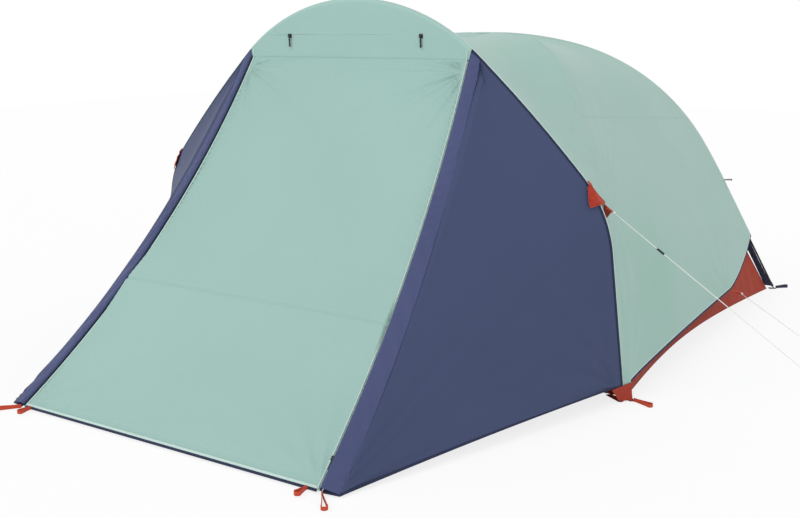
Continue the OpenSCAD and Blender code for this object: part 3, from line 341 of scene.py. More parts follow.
def hard_material(name, colour, other, rough, metal=0.0, scale=180.0):
    """Moulded plastic or drawn tube: fine grain, uneven gloss and faint scuffs."""
    mat, tree, bsdf = new_material(name)
    at = add(tree, "TexCoord")
    grain = add(tree, "TexNoise", Scale=scale, Detail=5.0, Roughness=0.6)
    scuff = add(tree, "TexNoise", Scale=scale / 6, Detail=2.0)
    ramp = two_colours(tree, 0.4, 0.75, colour, other)
    gloss = add(tree, "MapRange", To_Min=rough - 0.08, To_Max=rough + 0.12)
    height = add(tree, "Bump", Strength=0.15, Distance=0.0004)
    wire(tree, (at, "Object", grain, "Vector"), (at, "Object", scuff, "Vector"), (scuff, "Fac", ramp, "Fac"),
         (ramp, "Color", bsdf, "Base Color"), (grain, "Fac", gloss, "Value"), (gloss, "Result", bsdf, "Roughness"),
         (grain, "Fac", height, "Height"), (height, "Normal", bsdf, "Normal"))
    put(bsdf, Metallic=metal)
    return mat


MAT = {
    "fly": cloth_material("fly_cloth", MINT, MINT_GREEN),
    "door": cloth_material("door_cloth", DOOR_MINT, "#9ABCB5", crinkle=0.3),
    # The brow: a lighter mint than the door's, painted to offset the shade on its steeper face
    "brow": cloth_material("brow_cloth", BROW_MINT_WITH_PAINTED_LIGHT, "#A1C4BC", crinkle=0.3),
    "navy": cloth_material("porch_cloth", NAVY, "#424C6B", crinkle=0.3, sheen=0.04, shine=0.14),
    # Flaps: a lighter navy than the porch panels, painted for the light on the flaps' faces
    "flap": cloth_material("flap_cloth", FLAP_NAVY_WITH_PAINTED_LIGHT, "#474F74", crinkle=0.5, crinkle_scale=40, sheen=0.04, shine=0.14),
    "rust": cloth_material("floor_cloth", RUST, "#A84434", crinkle=0.4, sheen=0.05, shine=0.15),
    "inner": cloth_material("inner_cloth", INNER_CLOTH, "#C9CFCB", weave=0.0009, weave_depth=0.3, rough=0.8),
    "mesh": cloth_material("inner_door_cloth", "#C2CCC8", "#B6C2BD", weave=0.0012, weave_depth=0.5, rough=0.85),
    "binding": web_material("binding_tape", BINDING_NAVY, "#3A4263"),
    "web": web_material("red_webbing", WEB_RED, "#CF5D45", rib=0.0016),
    "guy": cloth_material("guy_patch_cloth", "#B5402C", "#A33726", patch=30, crinkle=0.4, sheen=0.03, shine=0.15),
    "dark_web": web_material("dark_webbing", "#2B3048", "#454B66", rib=0.0016),
    # Pale mint tape: piping on the door's edges and the brow, and painted highlights along the hoop's edge and the
    # hems' folds
    "piping_and_highlight": web_material("piping_and_highlight_tape", PIPING_AND_HIGHLIGHT, "#D2E6E0", rib=0.0012),
    "seam": web_material("seam_tape", "#B2CEC6", "#BDD6CF", rib=0.0012),
    "zip": web_material("zip_tape", "#272D47", "#3A405E", rib=0.0008),
    "cord": web_material("cord_braid", CORD_WHITE, "#E2E4E3", rib=0.0018),
    "pole": hard_material("pole_tube", "#191B1F", "#2C2E33", 0.34, 0.35, 90.0),
    "metal": hard_material("ferrule_metal", "#B9BCBE", "#9DA1A5", 0.3, 1.0, 240.0),
    "plastic": hard_material("black_plastic", BLACK, "#2B2D32", 0.46),
}


# Meshes
def mesh_object(name, verts, faces, material, uvs=None, smooth_shade=True):
    mesh = bpy.data.meshes.new(name)
    mesh.from_pydata([tuple(map(float, v)) for v in verts], [], faces)
    if uvs is not None:
        layer = mesh.uv_layers.new(name="UVMap")
        loop = np.zeros(len(mesh.loops), np.int32)
        mesh.loops.foreach_get("vertex_index", loop)
        layer.data.foreach_set("uv", np.asarray(uvs, np.float32)[loop].ravel())
    mesh.polygons.foreach_set("use_smooth", [smooth_shade] * len(mesh.polygons))
    mesh.materials.append(material)
    mesh.update()
    obj = bpy.data.objects.new(name, mesh)
    bpy.context.collection.objects.link(obj)
    return obj


def grid_faces(m, n, flip):
    i, j = np.meshgrid(np.arange(m - 1), np.arange(n - 1), indexing="ij")
    a = (i * n + j).ravel()
    quads = np.stack([a, a + 1, a + n + 1, a + n], 1)
    return (quads[:, ::-1] if flip else quads).tolist()


def cloth(name, P, material, body, thick=FLY_T, flip=None):
    """A sheet over a grid of points, its outer face on the grid and its thickness inward."""
    m, n = P.shape[:2]
    u, v = lengths(P)
    if flip is None:
        flip = np.sum(normals(P) * outward(P)) < 0
    uvs = np.stack([u, v], -1).reshape(-1, 2)
    obj = mesh_object(name, P.reshape(-1, 3), grid_faces(m, n, flip), MAT[material], uvs)
    solid = obj.modifiers.new("thickness", "SOLIDIFY")
    solid.thickness, solid.offset = thick, -1
    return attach(obj, body) if body else obj


def frames_along(path):
    """Tangents and two steady cross directions along a path."""
    t = unit(np.gradient(path, axis=0), TINY)
    u = np.zeros_like(t)
    ref = np.array([0.3, 1, 0.2])
    u[0] = unit(np.cross(t[0], ref if abs(t[0] @ ref) < 0.95 else np.array([1.0, 0, 0])))
    for i in range(1, len(t)):
        u[i] = unit(u[i - 1] - t[i] * (u[i - 1] @ t[i]))
    return t, u, np.cross(t, u)


def tube(name, path, r, material, body, sides, caps=True):
    """A round tube along a path, closed at both ends unless it is a ring."""
    path = np.asarray(path, float)
    t, u, v = frames_along(path)
    radius = np.broadcast_to(np.asarray(r, float), len(path))
    run = run_along(path)
    a = np.linspace(0, 2 * math.pi, sides, endpoint=False)
    ring = path[:, None] + radius[:, None, None] * (
        np.cos(a)[None, :, None] * u[:, None] + np.sin(a)[None, :, None] * v[:, None])
    m = len(path)
    faces = []
    for i in range(m - 1):
        for j in range(sides):
            k = (j + 1) % sides
            faces.append([i * sides + j, i * sides + k, (i + 1) * sides + k, (i + 1) * sides + j])
    if caps:
        faces.append(list(range(sides))[::-1])
        faces.append([(m - 1) * sides + j for j in range(sides)])
    uvs = np.stack([np.repeat(run, sides), np.tile(a * 0.0015, m)], -1)
    obj = mesh_object(name, ring.reshape(-1, 3), faces, MAT[material], uvs)
    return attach(obj, body) if body else obj


def ribbon(name, path, across, width, material, body, thick, crown=0.0):
    """A flat tape along a path: across is the direction of its width at each point."""
    path, across = np.asarray(path, float), np.asarray(across, float)
    across = unit(np.broadcast_to(across, path.shape))
    half = np.broadcast_to(np.asarray(width, float) / 2, len(path))
    up = unit(np.cross(np.gradient(path, axis=0), across), TINY)
    cols = np.linspace(-1, 1, 5)
    P = path[:, None] + across[:, None] * (half[:, None] * cols)[..., None]
    P = P + up[:, None] * (crown * (1 - cols ** 2))[None, :, None]
    obj = cloth(name, P, material, None, thick, flip=False)
    obj.modifiers["thickness"].offset = 0
    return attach(obj, body) if body else obj


def joined(name, objs, body):
    """Several meshes as one piece."""
    deps = bpy.context.evaluated_depsgraph_get()
    verts, faces, uvs, mats, index, smooth_flags = [], [], [], [], [], []
    for o in objs:
        mesh = o.evaluated_get(deps).to_mesh()
        base = len(verts)
        verts += [v.co.copy() for v in mesh.vertices]
        layer = mesh.uv_layers.active
        material = o.data.materials[0]
        if material not in mats:
            mats.append(material)
        for p in mesh.polygons:
            faces.append([base + v for v in p.vertices])
            uvs += [tuple(layer.data[k].uv) if layer else (0, 0) for k in p.loop_indices]
            index.append(mats.index(material))
            smooth_flags.append(p.use_smooth)
        o.evaluated_get(deps).to_mesh_clear()
    for o in objs:
        bpy.data.objects.remove(o)
    obj = mesh_object(name, verts, faces, mats[0])
    for material in mats[1:]:
        obj.data.materials.append(material)
    layer = obj.data.uv_layers.new(name="UVMap")
    layer.data.foreach_set("uv", np.asarray(uvs, np.float32).ravel())
    obj.data.polygons.foreach_set("material_index", index)
    obj.data.polygons.foreach_set("use_smooth", smooth_flags)
    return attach(obj, body) if body else obj


def mirrored(P):
    return P * np.array([-1, 1, 1])


def sided(P, sx):
    return P if sx > 0 else mirrored(P)


def dressed(piece, node):
    """Hide a CAD node's part, which the piece stands in for."""
    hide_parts(node)
    return piece


def piped(name, path, r, material, body="tent", sides=8, caps=True):
    """Piping, a seam or a bound edge as a piece of its own."""
    line = tube(name, path, r, material, body, sides, caps)
    return line


# Camera, as fitted to the photo
YAW, PITCH, ROLL = (math.radians(a) for a in (33.3058, 12.5136, -0.3791))
CAMERA_AT = Vector((2.6976, -4.2570, 1.475))
FOCAL_PX, IMAGE_W, SENSOR = 1070.9, 800, 36.0
forward = Vector((-math.sin(YAW) * math.cos(PITCH), math.cos(YAW) * math.cos(PITCH), -math.sin(PITCH)))
level = Vector((math.cos(YAW), math.sin(YAW), 0))
upward = level.cross(forward)
right = math.cos(ROLL) * level + math.sin(ROLL) * upward
above = -math.sin(ROLL) * level + math.cos(ROLL) * upward
camera = bpy.data.objects.new("camera", bpy.data.cameras.new("camera"))
camera.matrix_world = Matrix([*zip(right, above, -forward, CAMERA_AT), (0, 0, 0, 1)])
camera.data.sensor_width = SENSOR
camera.data.lens = FOCAL_PX * SENSOR / IMAGE_W
camera.data.clip_end = 100
bpy.context.collection.objects.link(camera)
bpy.context.scene.camera = camera

# Cords: the routes of the CAD, straight to the ground and then round a knot
MM = 0.001
GUY_ROUTE = MM * np.array([[1130 + 72 * i, -360 + 50 * i, 745 - 72 * i] for i in range(11)] + [
    [1854, 146, 19], [1855, 154, 15], [1851, 163, 14], [1844, 169, 15], [1837, 172, 19], [1829, 170, 25]])
RETURN_ROUTE = MM * np.array([
    [1828, 169, 26], [1762, 120, 94], [1696, 69, 162], [1630, 19, 231], [1564, -32, 299],
    [1498, -82, 367], [1431, -133, 436], [1365, -183, 504], [1295, -237, 576]])
HEM_ROUTE = MM * np.array([[1262 + 85 * i, 1050 - 64 * i, 127 - 24 * i] for i in range(6)] + [
    [1697, 725, 4], [1707, 725, 3], [1714, 732, 3], [1715, 742, 3], [1709, 750, 4], [1699, 753, 6],
    [1684, 756, 11], [1660, 766, 17], [1637, 776, 23]])


for name, route, far_end, pieces in (
        ("guyline", GUY_ROUTE, "knot", ["guyline_tensioner"]),
        ("guyline_return", RETURN_ROUTE, "object", []),
        ("hem_guyline", HEM_ROUTE, "knot", [])):
    line = tube(name + "_cord", route, CORD_D / 2, "cord", None, 12)
    if name == "guyline_return":
        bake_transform(line)
    else:
        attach(line, "tent")
    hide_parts(name)


# Fly panels
HOOP_HEM_S = float(length_at(HOOP, HEM_FRONT_Z, 1))
HOOP_HEAD_S = float(length_at(HOOP, DOOR_HEAD_HALF, 0))
DOME_HEM_S = float(length_at(DOME[-1], HEM_FRONT_Z, 1))
REAR_HEM_S = float(length_at(DOME[1], HEM_REAR_Z, 1))
PORCH_ROWS, ROWS, CROWN = 17, 23, 0.02
HOOP_END_S = HOOP["length"] - CROWN * DIAG_X
DOME_END_S = {sy: DOME[sy]["length"] - CROWN for sy in DOME}
SIDE_HEM_L, REAR_HEM_L = 2.05, 2.3


def panel(name, P, material, node, body="tent", thick=FLY_T):
    """A stretched sheet in a CAD node's place."""
    piece = dressed(cloth(name, P, material, body, thick), node)


def side_hem_z(f):
    near = HEM_FRONT_Z + (HEM_TIE_Z - HEM_FRONT_Z) * clamp(f / HEM_TIE_AT) ** 0.7
    far = HEM_TIE_Z + (HEM_REAR_Z - HEM_TIE_Z) * clamp((f - HEM_TIE_AT) / (1 - HEM_TIE_AT)) ** 1.3
    return np.where(f < HEM_TIE_AT, near, far)


def rear_hem_z(f):
    return HEM_BACK_Z + (HEM_REAR_Z - HEM_BACK_Z) * np.abs(2 * f - 1) ** 2.6


def sagging(a, b, f, up):
    return inset(mix(a, b, f), SAG * arch(f) * np.sin(np.radians(150 * up + 12)))


def over_dome(hem_z, t, sx, sy):
    """A point a part t of the way up from a hem's height to the crown, over one half of a dome pole."""
    hem = length_at(DOME[sy], hem_z, 1)
    return dome_point(hem + (DOME_END_S[sy] - hem) * t, sx, sy)


def side_panel(f, t):
    z = side_hem_z(f)
    return sagging(over_dome(z, t, 1, -1), over_dome(z, t, 1, 1), f, t)


def rear_panel(f, t):
    z = rear_hem_z(f)
    return sagging(over_dome(z, t, 1, 1), over_dome(z, t, -1, 1), f, t)


def roof_panel(f, t):
    hoop_s = np.interp(t * ROWS, [0, PORCH_ROWS, ROWS], [HOOP_HEM_S, HOOP_HEAD_S, HOOP_END_S])
    p = mix(hoop_point(hoop_s), over_dome(HEM_FRONT_Z, t, 1, -1), f)
    return inset(p, ROOF_SAG * arch(f) * t ** 1.5)


def radiating(u, v, cu, cv, count, reach, seed):
    """Folds of unit height that run out from a point, dying away over a reach in metres."""
    rng = np.random.default_rng(seed)
    r, a = np.hypot(u - cu, v - cv), np.arctan2(v - cv, u - cu)
    folds = sum(np.cos(count * rng.uniform(0.7, 1.3) * a + rng.uniform(0, 6.3)) for _ in range(3)) / 1.7
    return folds * np.exp(-r / reach) * smooth(r / 0.06)


def edge_fade(f, width=0.06):
    return smooth(f / width) * smooth((1 - f) / width)


F, T = grid(141, 161)
side = side_panel(F, T)
u, v = lengths(side)
side = pushed(side, edge_fade(F) * smooth(T / 0.02) * (
    0.0026 * waves(u, v, 3, 6, 0.5, 1.4)
    + 0.0040 * radiating(u, v, HEM_TIE_AT * SIDE_HEM_L, 0, 9, 0.30, 11)
    + 0.0045 * radiating(u, v, SIDE_HEM_L, 0, 15, 0.45, 12)
    + 0.0030 * radiating(u, v, 0, 0, 13, 0.40, 13)
    + 0.0022 * radiating(u, v, 0.1, 0.75, 15, 0.30, 14)))
for name, sx in SIDES:
    panel(name + "_fly_cloth", sided(side, sx), "fly", name + "_fly_panel")

rear = rear_panel(F, T)
u, v = lengths(rear)
rear = pushed(rear, edge_fade(F) * smooth(T / 0.02) * (
    0.0028 * waves(u, v, 4, 6, 0.5, 1.4)
    + 0.0040 * radiating(u, v, 0, 0, 13, 0.45, 21)
    + 0.0040 * radiating(u, v, REAR_HEM_L, 0, 13, 0.45, 22)))
panel("rear_fly_cloth", rear, "fly", "rear_fly_panel")

F, T = grid(71, 151)
half_roof = roof_panel(F, T)
u, v = lengths(half_roof)
half_roof = pushed(half_roof, edge_fade(F, 0.1) * smooth(T / 0.02) * (
    0.0024 * waves(u, v, 5, 6, 0.6, 1.6)
    + 0.0032 * radiating(u, v, 0, 0.86, 13, 0.22, 31)
    + 0.0030 * np.cos(2 * np.pi * v / 0.085) * bump(v, 1.02, 0.16) * np.exp(-u / 0.14)))
roof = np.concatenate([half_roof, mirrored(half_roof)[::-1]])
panel("front_fly_cloth", roof, "fly", "front_fly_roof")

# Flat seams across the sides and from the ridges to the hoop
SIDE_SEAM = ((0, 0.489), (0.178, 0.484), (0.373, 0.479), (0.566, 0.471), (0.752, 0.456), (0.932, 0.414), (1, 0.39))
HOOP_SEAM = ((0.975, 0.519), (0.48, 0.457), (0.02, 0.405))


def on_grid(P, route, lift):
    """A line over a cloth grid, through shares across and up it, standing just proud of the cloth."""
    at = np.linspace(0, 1, 90)
    f, t = (np.interp(at, np.linspace(0, 1, len(route)), [r[i] for r in route]) for i in (0, 1))
    i, j = t * (P.shape[0] - 1), f * (P.shape[1] - 1)
    Q = P + lift * outward(P)
    i0, j0 = np.minimum(i.astype(int), P.shape[0] - 2), np.minimum(j.astype(int), P.shape[1] - 2)
    return mix(mix(Q[i0, j0], Q[i0, j0 + 1], j - j0), mix(Q[i0 + 1, j0], Q[i0 + 1, j0 + 1], j - j0), i - i0)


for name, sx in SIDES:
    for label, cloth_grid, route in (("side", side, SIDE_SEAM), ("hoop", half_roof, HOOP_SEAM)):
        line = on_grid(cloth_grid, route, 0.0002)
        piped(f"{name}_{label}_flat_seam", sided(line, sx), 0.0013, "seam", sides=6)

# Crown patch, doubled cloth that lies over the panels' tops and clears the hub
PATCH_R, PATCH_SOFT, HUB_CAP_Z, HUB_CAP_R = 0.085, 0.009, 1.4156, 0.028
ends = [dome_point(DOME[sy]["length"] - PATCH_R, sx, sy, FLY_LIFT + 0.0022) for sx, sy in CORNERS]
A, B = grid(25, 25)
crown = between_corners(ends, A, B)
cap = np.concatenate([g.reshape(-1, 3) for g in (roof, side, mirrored(side), rear)])
cap = cap[np.hypot(cap[:, 0], cap[:, 1] - MID_Y) < 2 * PATCH_R]
apart = (crown[..., None, 0] - cap[:, 0]) ** 2 + (crown[..., None, 1] - cap[:, 1]) ** 2
weight = np.exp(-apart / PATCH_SOFT ** 2) + TINY
rim = np.minimum(np.minimum(A, 1 - A), np.minimum(B, 1 - B))
crown[..., 2] = np.sum(weight * cap[:, 2], -1) / np.sum(weight, -1) + 0.0014 + 0.0026 * smooth(rim / 0.14)
off_hub = np.maximum(np.hypot(crown[..., 0], crown[..., 1] - MID_Y) - HUB_CAP_R, 0)
crown[..., 2] = np.maximum(crown[..., 2], HUB_CAP_Z - 9 * off_hub ** 2)
panel("crown_patch_cloth", crown, "fly", "fly_crown_patch")

# Porch: the zip's arc
head_hoop = hoop_point(HOOP_HEAD_S)
HEAD_Z = float(head_hoop[2]) - HEAD_DROP
HEAD_Y = float(head_hoop[1]) + HEAD_DROP * math.tan(LEAN) - BROW_AHEAD
plan_run = np.array([DOOR_HEAD_HALF - DOOR_FOOT_HALF, HEAD_Y - DOOR_Y])
ZIP_RUN = np.array([*unit(plan_run), 0])
ZIP_SIDE = np.array([ZIP_RUN[1], -ZIP_RUN[0], 0])
chord = np.array([np.linalg.norm(plan_run), HEAD_Z - DOOR_FOOT_Z])
ZIP_R = float(chord @ chord / (8 * DOOR_SAG) + DOOR_SAG / 2)
zip_centre = np.array([0, DOOR_FOOT_Z]) + chord / 2
zip_centre = zip_centre - (ZIP_R - DOOR_SAG) * np.array([chord[1], -chord[0]]) / np.linalg.norm(chord)
ZIP_AT = np.array([DOOR_FOOT_HALF, DOOR_Y, 0]) + zip_centre[0] * ZIP_RUN + np.array([0, 0, zip_centre[1]])


def off_zip(z, across, out):
    """Points at a height on the zip's arc, moved across it and inward."""
    a = np.arcsin((np.asarray(z) - zip_centre[1]) / ZIP_R)[..., None]
    across, out = np.asarray(across, float)[..., None], np.asarray(out, float)[..., None]
    return ZIP_AT + (ZIP_R - out) * (np.cos(a) * ZIP_RUN + np.sin(a) * np.array([0, 0, 1])) + across * ZIP_SIDE


DOOR_TOP_Z, CREASE_Z, BROW_SEAM_Z = HEAD_Z - 0.0006, 0.42, 1.424

# Door: straight from zip to zip, hung in a slight sag, with a pressed crease across it
across = np.linspace(-1, 1, 141)
A, B = np.meshgrid(across * (1.6 - 0.6 * across ** 2), np.linspace(0, 1, 421))
Z = DOOR_FOOT_Z + 0.004 + (DOOR_TOP_Z - DOOR_FOOT_Z - 0.004) * B
door = off_zip(Z, -DOOR_EDGE, 0.00125)
door[..., 0] *= A
u, v = lengths(door)
wide = u[:, -1:]
near_edge = np.minimum(u, wide - u)
crease_at = np.interp(CREASE_Z, Z[:, 0], v[:, 0])
comb = np.sin(2 * np.pi * (v - 0.9 * near_edge) / 0.026 + 1.6 * waves(v, 0 * v, 8, 3, 1, 3))
drape = waves(u + 0.25 * v, 0.18 * v, 47, 6, 1.2, 3.4)
hem_roll = 0.0060 * smooth((v - 0.020) / 0.016) * np.exp(-np.maximum(v - 0.036, 0) / 0.12) * smooth(near_edge / 0.09)
held = smooth(near_edge / (0.012 + 0.020 * smooth((B - 0.88) / 0.06)))
folds = hem_roll + held * smooth((1 - B) / 0.012) * smooth((B - 0.010) / 0.03) * (
    0.0030 * waves(u, v, 6, 7, 0.5, 1.5)
    + 0.0030 * comb * np.exp(-near_edge / 0.05) * (0.25 + smooth((B - 0.35) / 0.35))
    + 0.0034 * drape * smooth((B - 0.3) / 0.3) * smooth((1 - B) / 0.1)
    + 0.0050 * radiating(u, v, wide, v[-1:] * 0.97, 19, 0.34, 41)
    + 0.0044 * radiating(u, v, 0, v[-1:] * 0.97, 19, 0.34, 42)
    + 0.0040 * radiating(u, v, wide, 0, 15, 0.30, 43)
    + 0.0040 * radiating(u, v, 0, 0, 15, 0.30, 44)
    + 0.0180 * clamp(1 - np.abs(v - crease_at) / 0.22)
    - 0.0055 * np.exp(-((v - crease_at - 0.004) / 0.0065) ** 2))
panel("door_cloth", pushed(door, folds), "door", "door_panel", "door")


# Brow, from the roof's front edge round the hoop and down behind the door's head
def brow_y(z):
    """The plane of the brow's face."""
    return HOOP_Y - z * math.tan(LEAN) - BROW_AHEAD


TUCK = 1 + np.array([0.0008, 0.0018, 0.006, 0.012])
W, D = np.meshgrid(np.linspace(-1, 1, 121), np.concatenate([np.linspace(0, 1, 36), TUCK]))
top = hoop_point(HOOP_HEAD_S + (HOOP["length"] - HOOP_HEAD_S) * (1 - np.abs(W)))
z = top[..., 2] + (HEAD_Z - 0.0002 - top[..., 2]) * np.minimum(D, 1) - np.maximum(D - 1, 0)
fall = top[..., 2] - z
ahead = (BROW_AHEAD + 0.0024) * np.sqrt(clamp(fall / BROW_LIP)) - 0.0040 * smooth((D - 1.0004) / 0.0014)
brow = points(np.sign(W) * top[..., 0], top[..., 1] + fall * math.tan(LEAN) - ahead, z)
u, v = lengths(brow)
brow[..., 1] -= smooth(D / 0.3) * smooth((z - HEAD_Z - 0.01) / 0.03) * 0.0012 * waves(u, v, 9, 6, 1.0, 3.0)
panel("brow_cloth", brow, "brow", "fly_brow")
line = points(np.linspace(-0.45, 0.45, 60), brow_y(BROW_SEAM_Z) - 0.0026, BROW_SEAM_Z)
piped("brow_flat_seam", line, 0.0015, "seam", sides=6)


# Porch side panels, ruled from the zip to the hoop
def hoop_station(k):
    return np.interp(k, [0, 1, PORCH_ROWS], [HOOP_HEM_S, HOOP_HEM_S + BINDING, HOOP_HEAD_S])


def porch_zip_z(k):
    h, low = hoop_point(hoop_station(k))[..., 2], float(hoop_point(HOOP_HEM_S)[2])
    z = h - (low - DOOR_FOOT_Z) * (1 - k / PORCH_ROWS) ** 4
    return np.minimum(z, HEAD_Z - 0.001 - 0.012 * (PORCH_ROWS - k))


def porch_edges(k):
    """The panel's edge at the zip, the line where it turns back, its lip on the hoop and its end behind the lip."""
    h = hoop_point(hoop_station(k))
    edge = off_zip(porch_zip_z(k), PANEL_EDGE, 0)
    f = BROW_AHEAD / (h[..., 1] - edge[..., 1])
    lip = hoop_point(hoop_station(k), 0.004) - np.array([0, BROW_AHEAD, 0])
    lip = mix(mix(h, edge, np.minimum(f, 1)), lip, smooth((f - 0.18) / 0.34))
    span = np.linalg.norm(lip - edge, axis=-1)
    near = np.minimum(FLAP_W, 0.6 * span)
    turn = mix(mix(edge, lip, near / span), edge + near[..., None] * ZIP_SIDE, np.minimum(1, (PORCH_ROWS - k) / 4))
    return edge, turn, lip, h


TURN_AT = 0.12


def porch_panel(f, k):
    edge, turn, lip, _ = porch_edges(k)
    g = clamp((f - TURN_AT) / (1 - TURN_AT))
    low = smooth(2 - k)
    p = np.where((f < TURN_AT)[..., None], mix(edge, turn, np.minimum(f / TURN_AT, 1)), mix(turn, lip, g))
    p = p + points(0, 0, 0.009 * arch(g) * low)
    return inset(p, 0.5 * SAG * arch(g) * (1 - low))


K_TOP = PORCH_ROWS - 0.02
F, K = grid(91, 171, 0, K_TOP)
porch = porch_panel(F, K)
u, v = lengths(porch)
wide = u[:, -1:]
porch = pushed(porch, edge_fade(F, 0.04) * smooth(K / 0.6) * smooth((PORCH_ROWS - K) / 2) * (
    0.0016 * waves(u, v, 15, 6, 0.6, 1.8)
    + 0.0034 * radiating(u, v, 0, 0, 17, 0.5, 51)
    + 0.0030 * radiating(u, v, wide, 0, 15, 0.4, 52)))
porch = np.concatenate([porch, porch_edges(K[:, -1:])[3]], 1)
for name, sx in SIDES:
    panel(name + "_porch_cloth", sided(porch, sx), "navy", name + "_porch_panel")

# Flaps over the zips, puckered along their free edge and cut off by the hoop
FLAP_TURN = PORCH_ROWS - 2


def flap_edges(k):
    """The flap's sewn edge, its bend, its fold and its free edge."""
    low = np.minimum(k, FLAP_TURN)
    up = clamp(k - FLAP_TURN)
    edge, turn, _, _ = porch_edges(low)
    lip = porch_edges(PORCH_ROWS - 0.6 + 0.59 * clamp(k - PORCH_ROWS + 1))[2]
    sewn = mix(mix(edge, turn, 0.95 - 0.38 * smooth(k / FLAP_TURN)), lip, up)
    lift = -0.0022 - 0.005 * arch(clamp((k - FLAP_TURN + 0.6) / 2.4))
    sewn = inset(sewn, lift) - points(0, 0.002 * up, 0)
    z = porch_zip_z(low) + (HEAD_Z + 0.030 - porch_zip_z(FLAP_TURN)) * np.clip(k - FLAP_TURN, 0, 2) / 2
    out = []
    for across, stand in ((TAPE_W + 0.003, FLAP_STAND), (0.0045, FLAP_STAND - 0.001), (0.0028, 0.0050)):
        p = off_zip(z, across, stand)
        p[..., 1] = np.minimum(p[..., 1], brow_y(z) + 0.0035 - stand)
        out.append(mix(p, sewn, smooth((k - PORCH_ROWS + 0.5) / 0.5) * 0.9))
    return sewn, *out


BEND_G, FOLD_G = 0.72, 0.86
G, K = grid(51, 421, 0.15, PORCH_ROWS)
sewn, bend, fold, free = flap_edges(K)
flap = mix(sewn, bend, np.minimum(G / BEND_G, 1))
flap = mix(flap, fold, clamp((G - BEND_G) / (FOLD_G - BEND_G)))
flap = mix(flap, free, clamp((G - FOLD_G) / (1 - FOLD_G)))
u, v = lengths(flap)
ripple = np.sin(2 * np.pi * (v + 0.8 * u) / 0.052 + 2.6 * waves(v, 0 * v, 18, 4, 0.8, 2.4))
flap = pushed(flap, smooth(G / 0.12) * smooth((PORCH_ROWS - K) / 1.5) * smooth((FOLD_G - G) / 0.2) * (
    0.0017 * ripple * (0.3 + G) * (0.4 + smooth((waves(v, 0 * v, 28, 4, 0.7, 2.2) + 0.5) / 1.2))
    + 0.0022 * arch(clamp(G / 0.9)) + 0.0017 * waves(u, v, 19, 5, 6, 15)))
for name, sx in SIDES:
    P = sided(flap, sx)
    piece = dressed(cloth(name + "_flap_cloth", P, "flap", "tent"), name + "_zip_flap")
    trim = piped(name + "_flap_binding", P[:, -1], 0.0021, "binding")

# Zips: woven tapes with their rows of teeth
TAPE_GAP, TOOTH_OFF, TOOTH_PITCH, TOOTH = 0.0003, 0.0011, 0.0036, (0.0010, 0.0012, 0.0007)
TOOTH_SHAPE = np.array([[-1, -1, -1], [1, -1, -1], [1, 1, -1], [-1, 1, -1],
                        [-.7, -.8, 1], [.7, -.8, 1], [.7, .8, 1], [-.7, .8, 1]])
TOOTH_FACES = ((3, 2, 1, 0), (4, 5, 6, 7), (0, 1, 5, 4), (1, 2, 6, 5), (2, 3, 7, 6), (3, 0, 4, 7))


def teeth(name, across, sx):
    path = off_zip(np.linspace(DOOR_FOOT_Z + 0.004, HEAD_Z - 0.008, 400), across, 0.0014)
    centre = at_runs(path, np.arange(TOOTH_PITCH, run_along(path)[-1], TOOTH_PITCH))
    t = unit(np.gradient(centre, axis=0))
    out = np.cross(t, ZIP_SIDE)
    wide, long, high = (TOOTH_SHAPE[None, :, i:i + 1] * TOOTH[i] for i in range(3))
    P = (centre[:, None] + wide * ZIP_SIDE + long * t[:, None] + high * out[:, None]).reshape(-1, 3)
    faces = [[8 * i + k for k in q[::sx]] for i in range(len(centre)) for q in TOOTH_FACES]
    return mesh_object(name, sided(P, sx), faces, MAT["plastic"], smooth_shade=False)


Z = np.linspace(DOOR_FOOT_Z + 0.003, HEAD_Z - 0.006, 160)
for name, sx in SIDES:
    for body, node, a, b, mat in (("tent", name + "_zip", TAPE_GAP, TAPE_W, "flap"),
                                  ("door", "door_zip_tapes", -TAPE_W, -TAPE_GAP, "piping_and_highlight")):
        P = np.stack([off_zip(Z, c, 0.0005) for c in np.linspace(a, b, 4)], 1)
        tape = cloth(f"{name}_{body}_zip_tape", sided(P, sx), mat, None, INNER_T)
        row = teeth(f"{name}_{body}_teeth", math.copysign(TOOTH_OFF, a), sx)
        dressed(joined(f"{name}_{body}_zip", [tape, row], body), node)

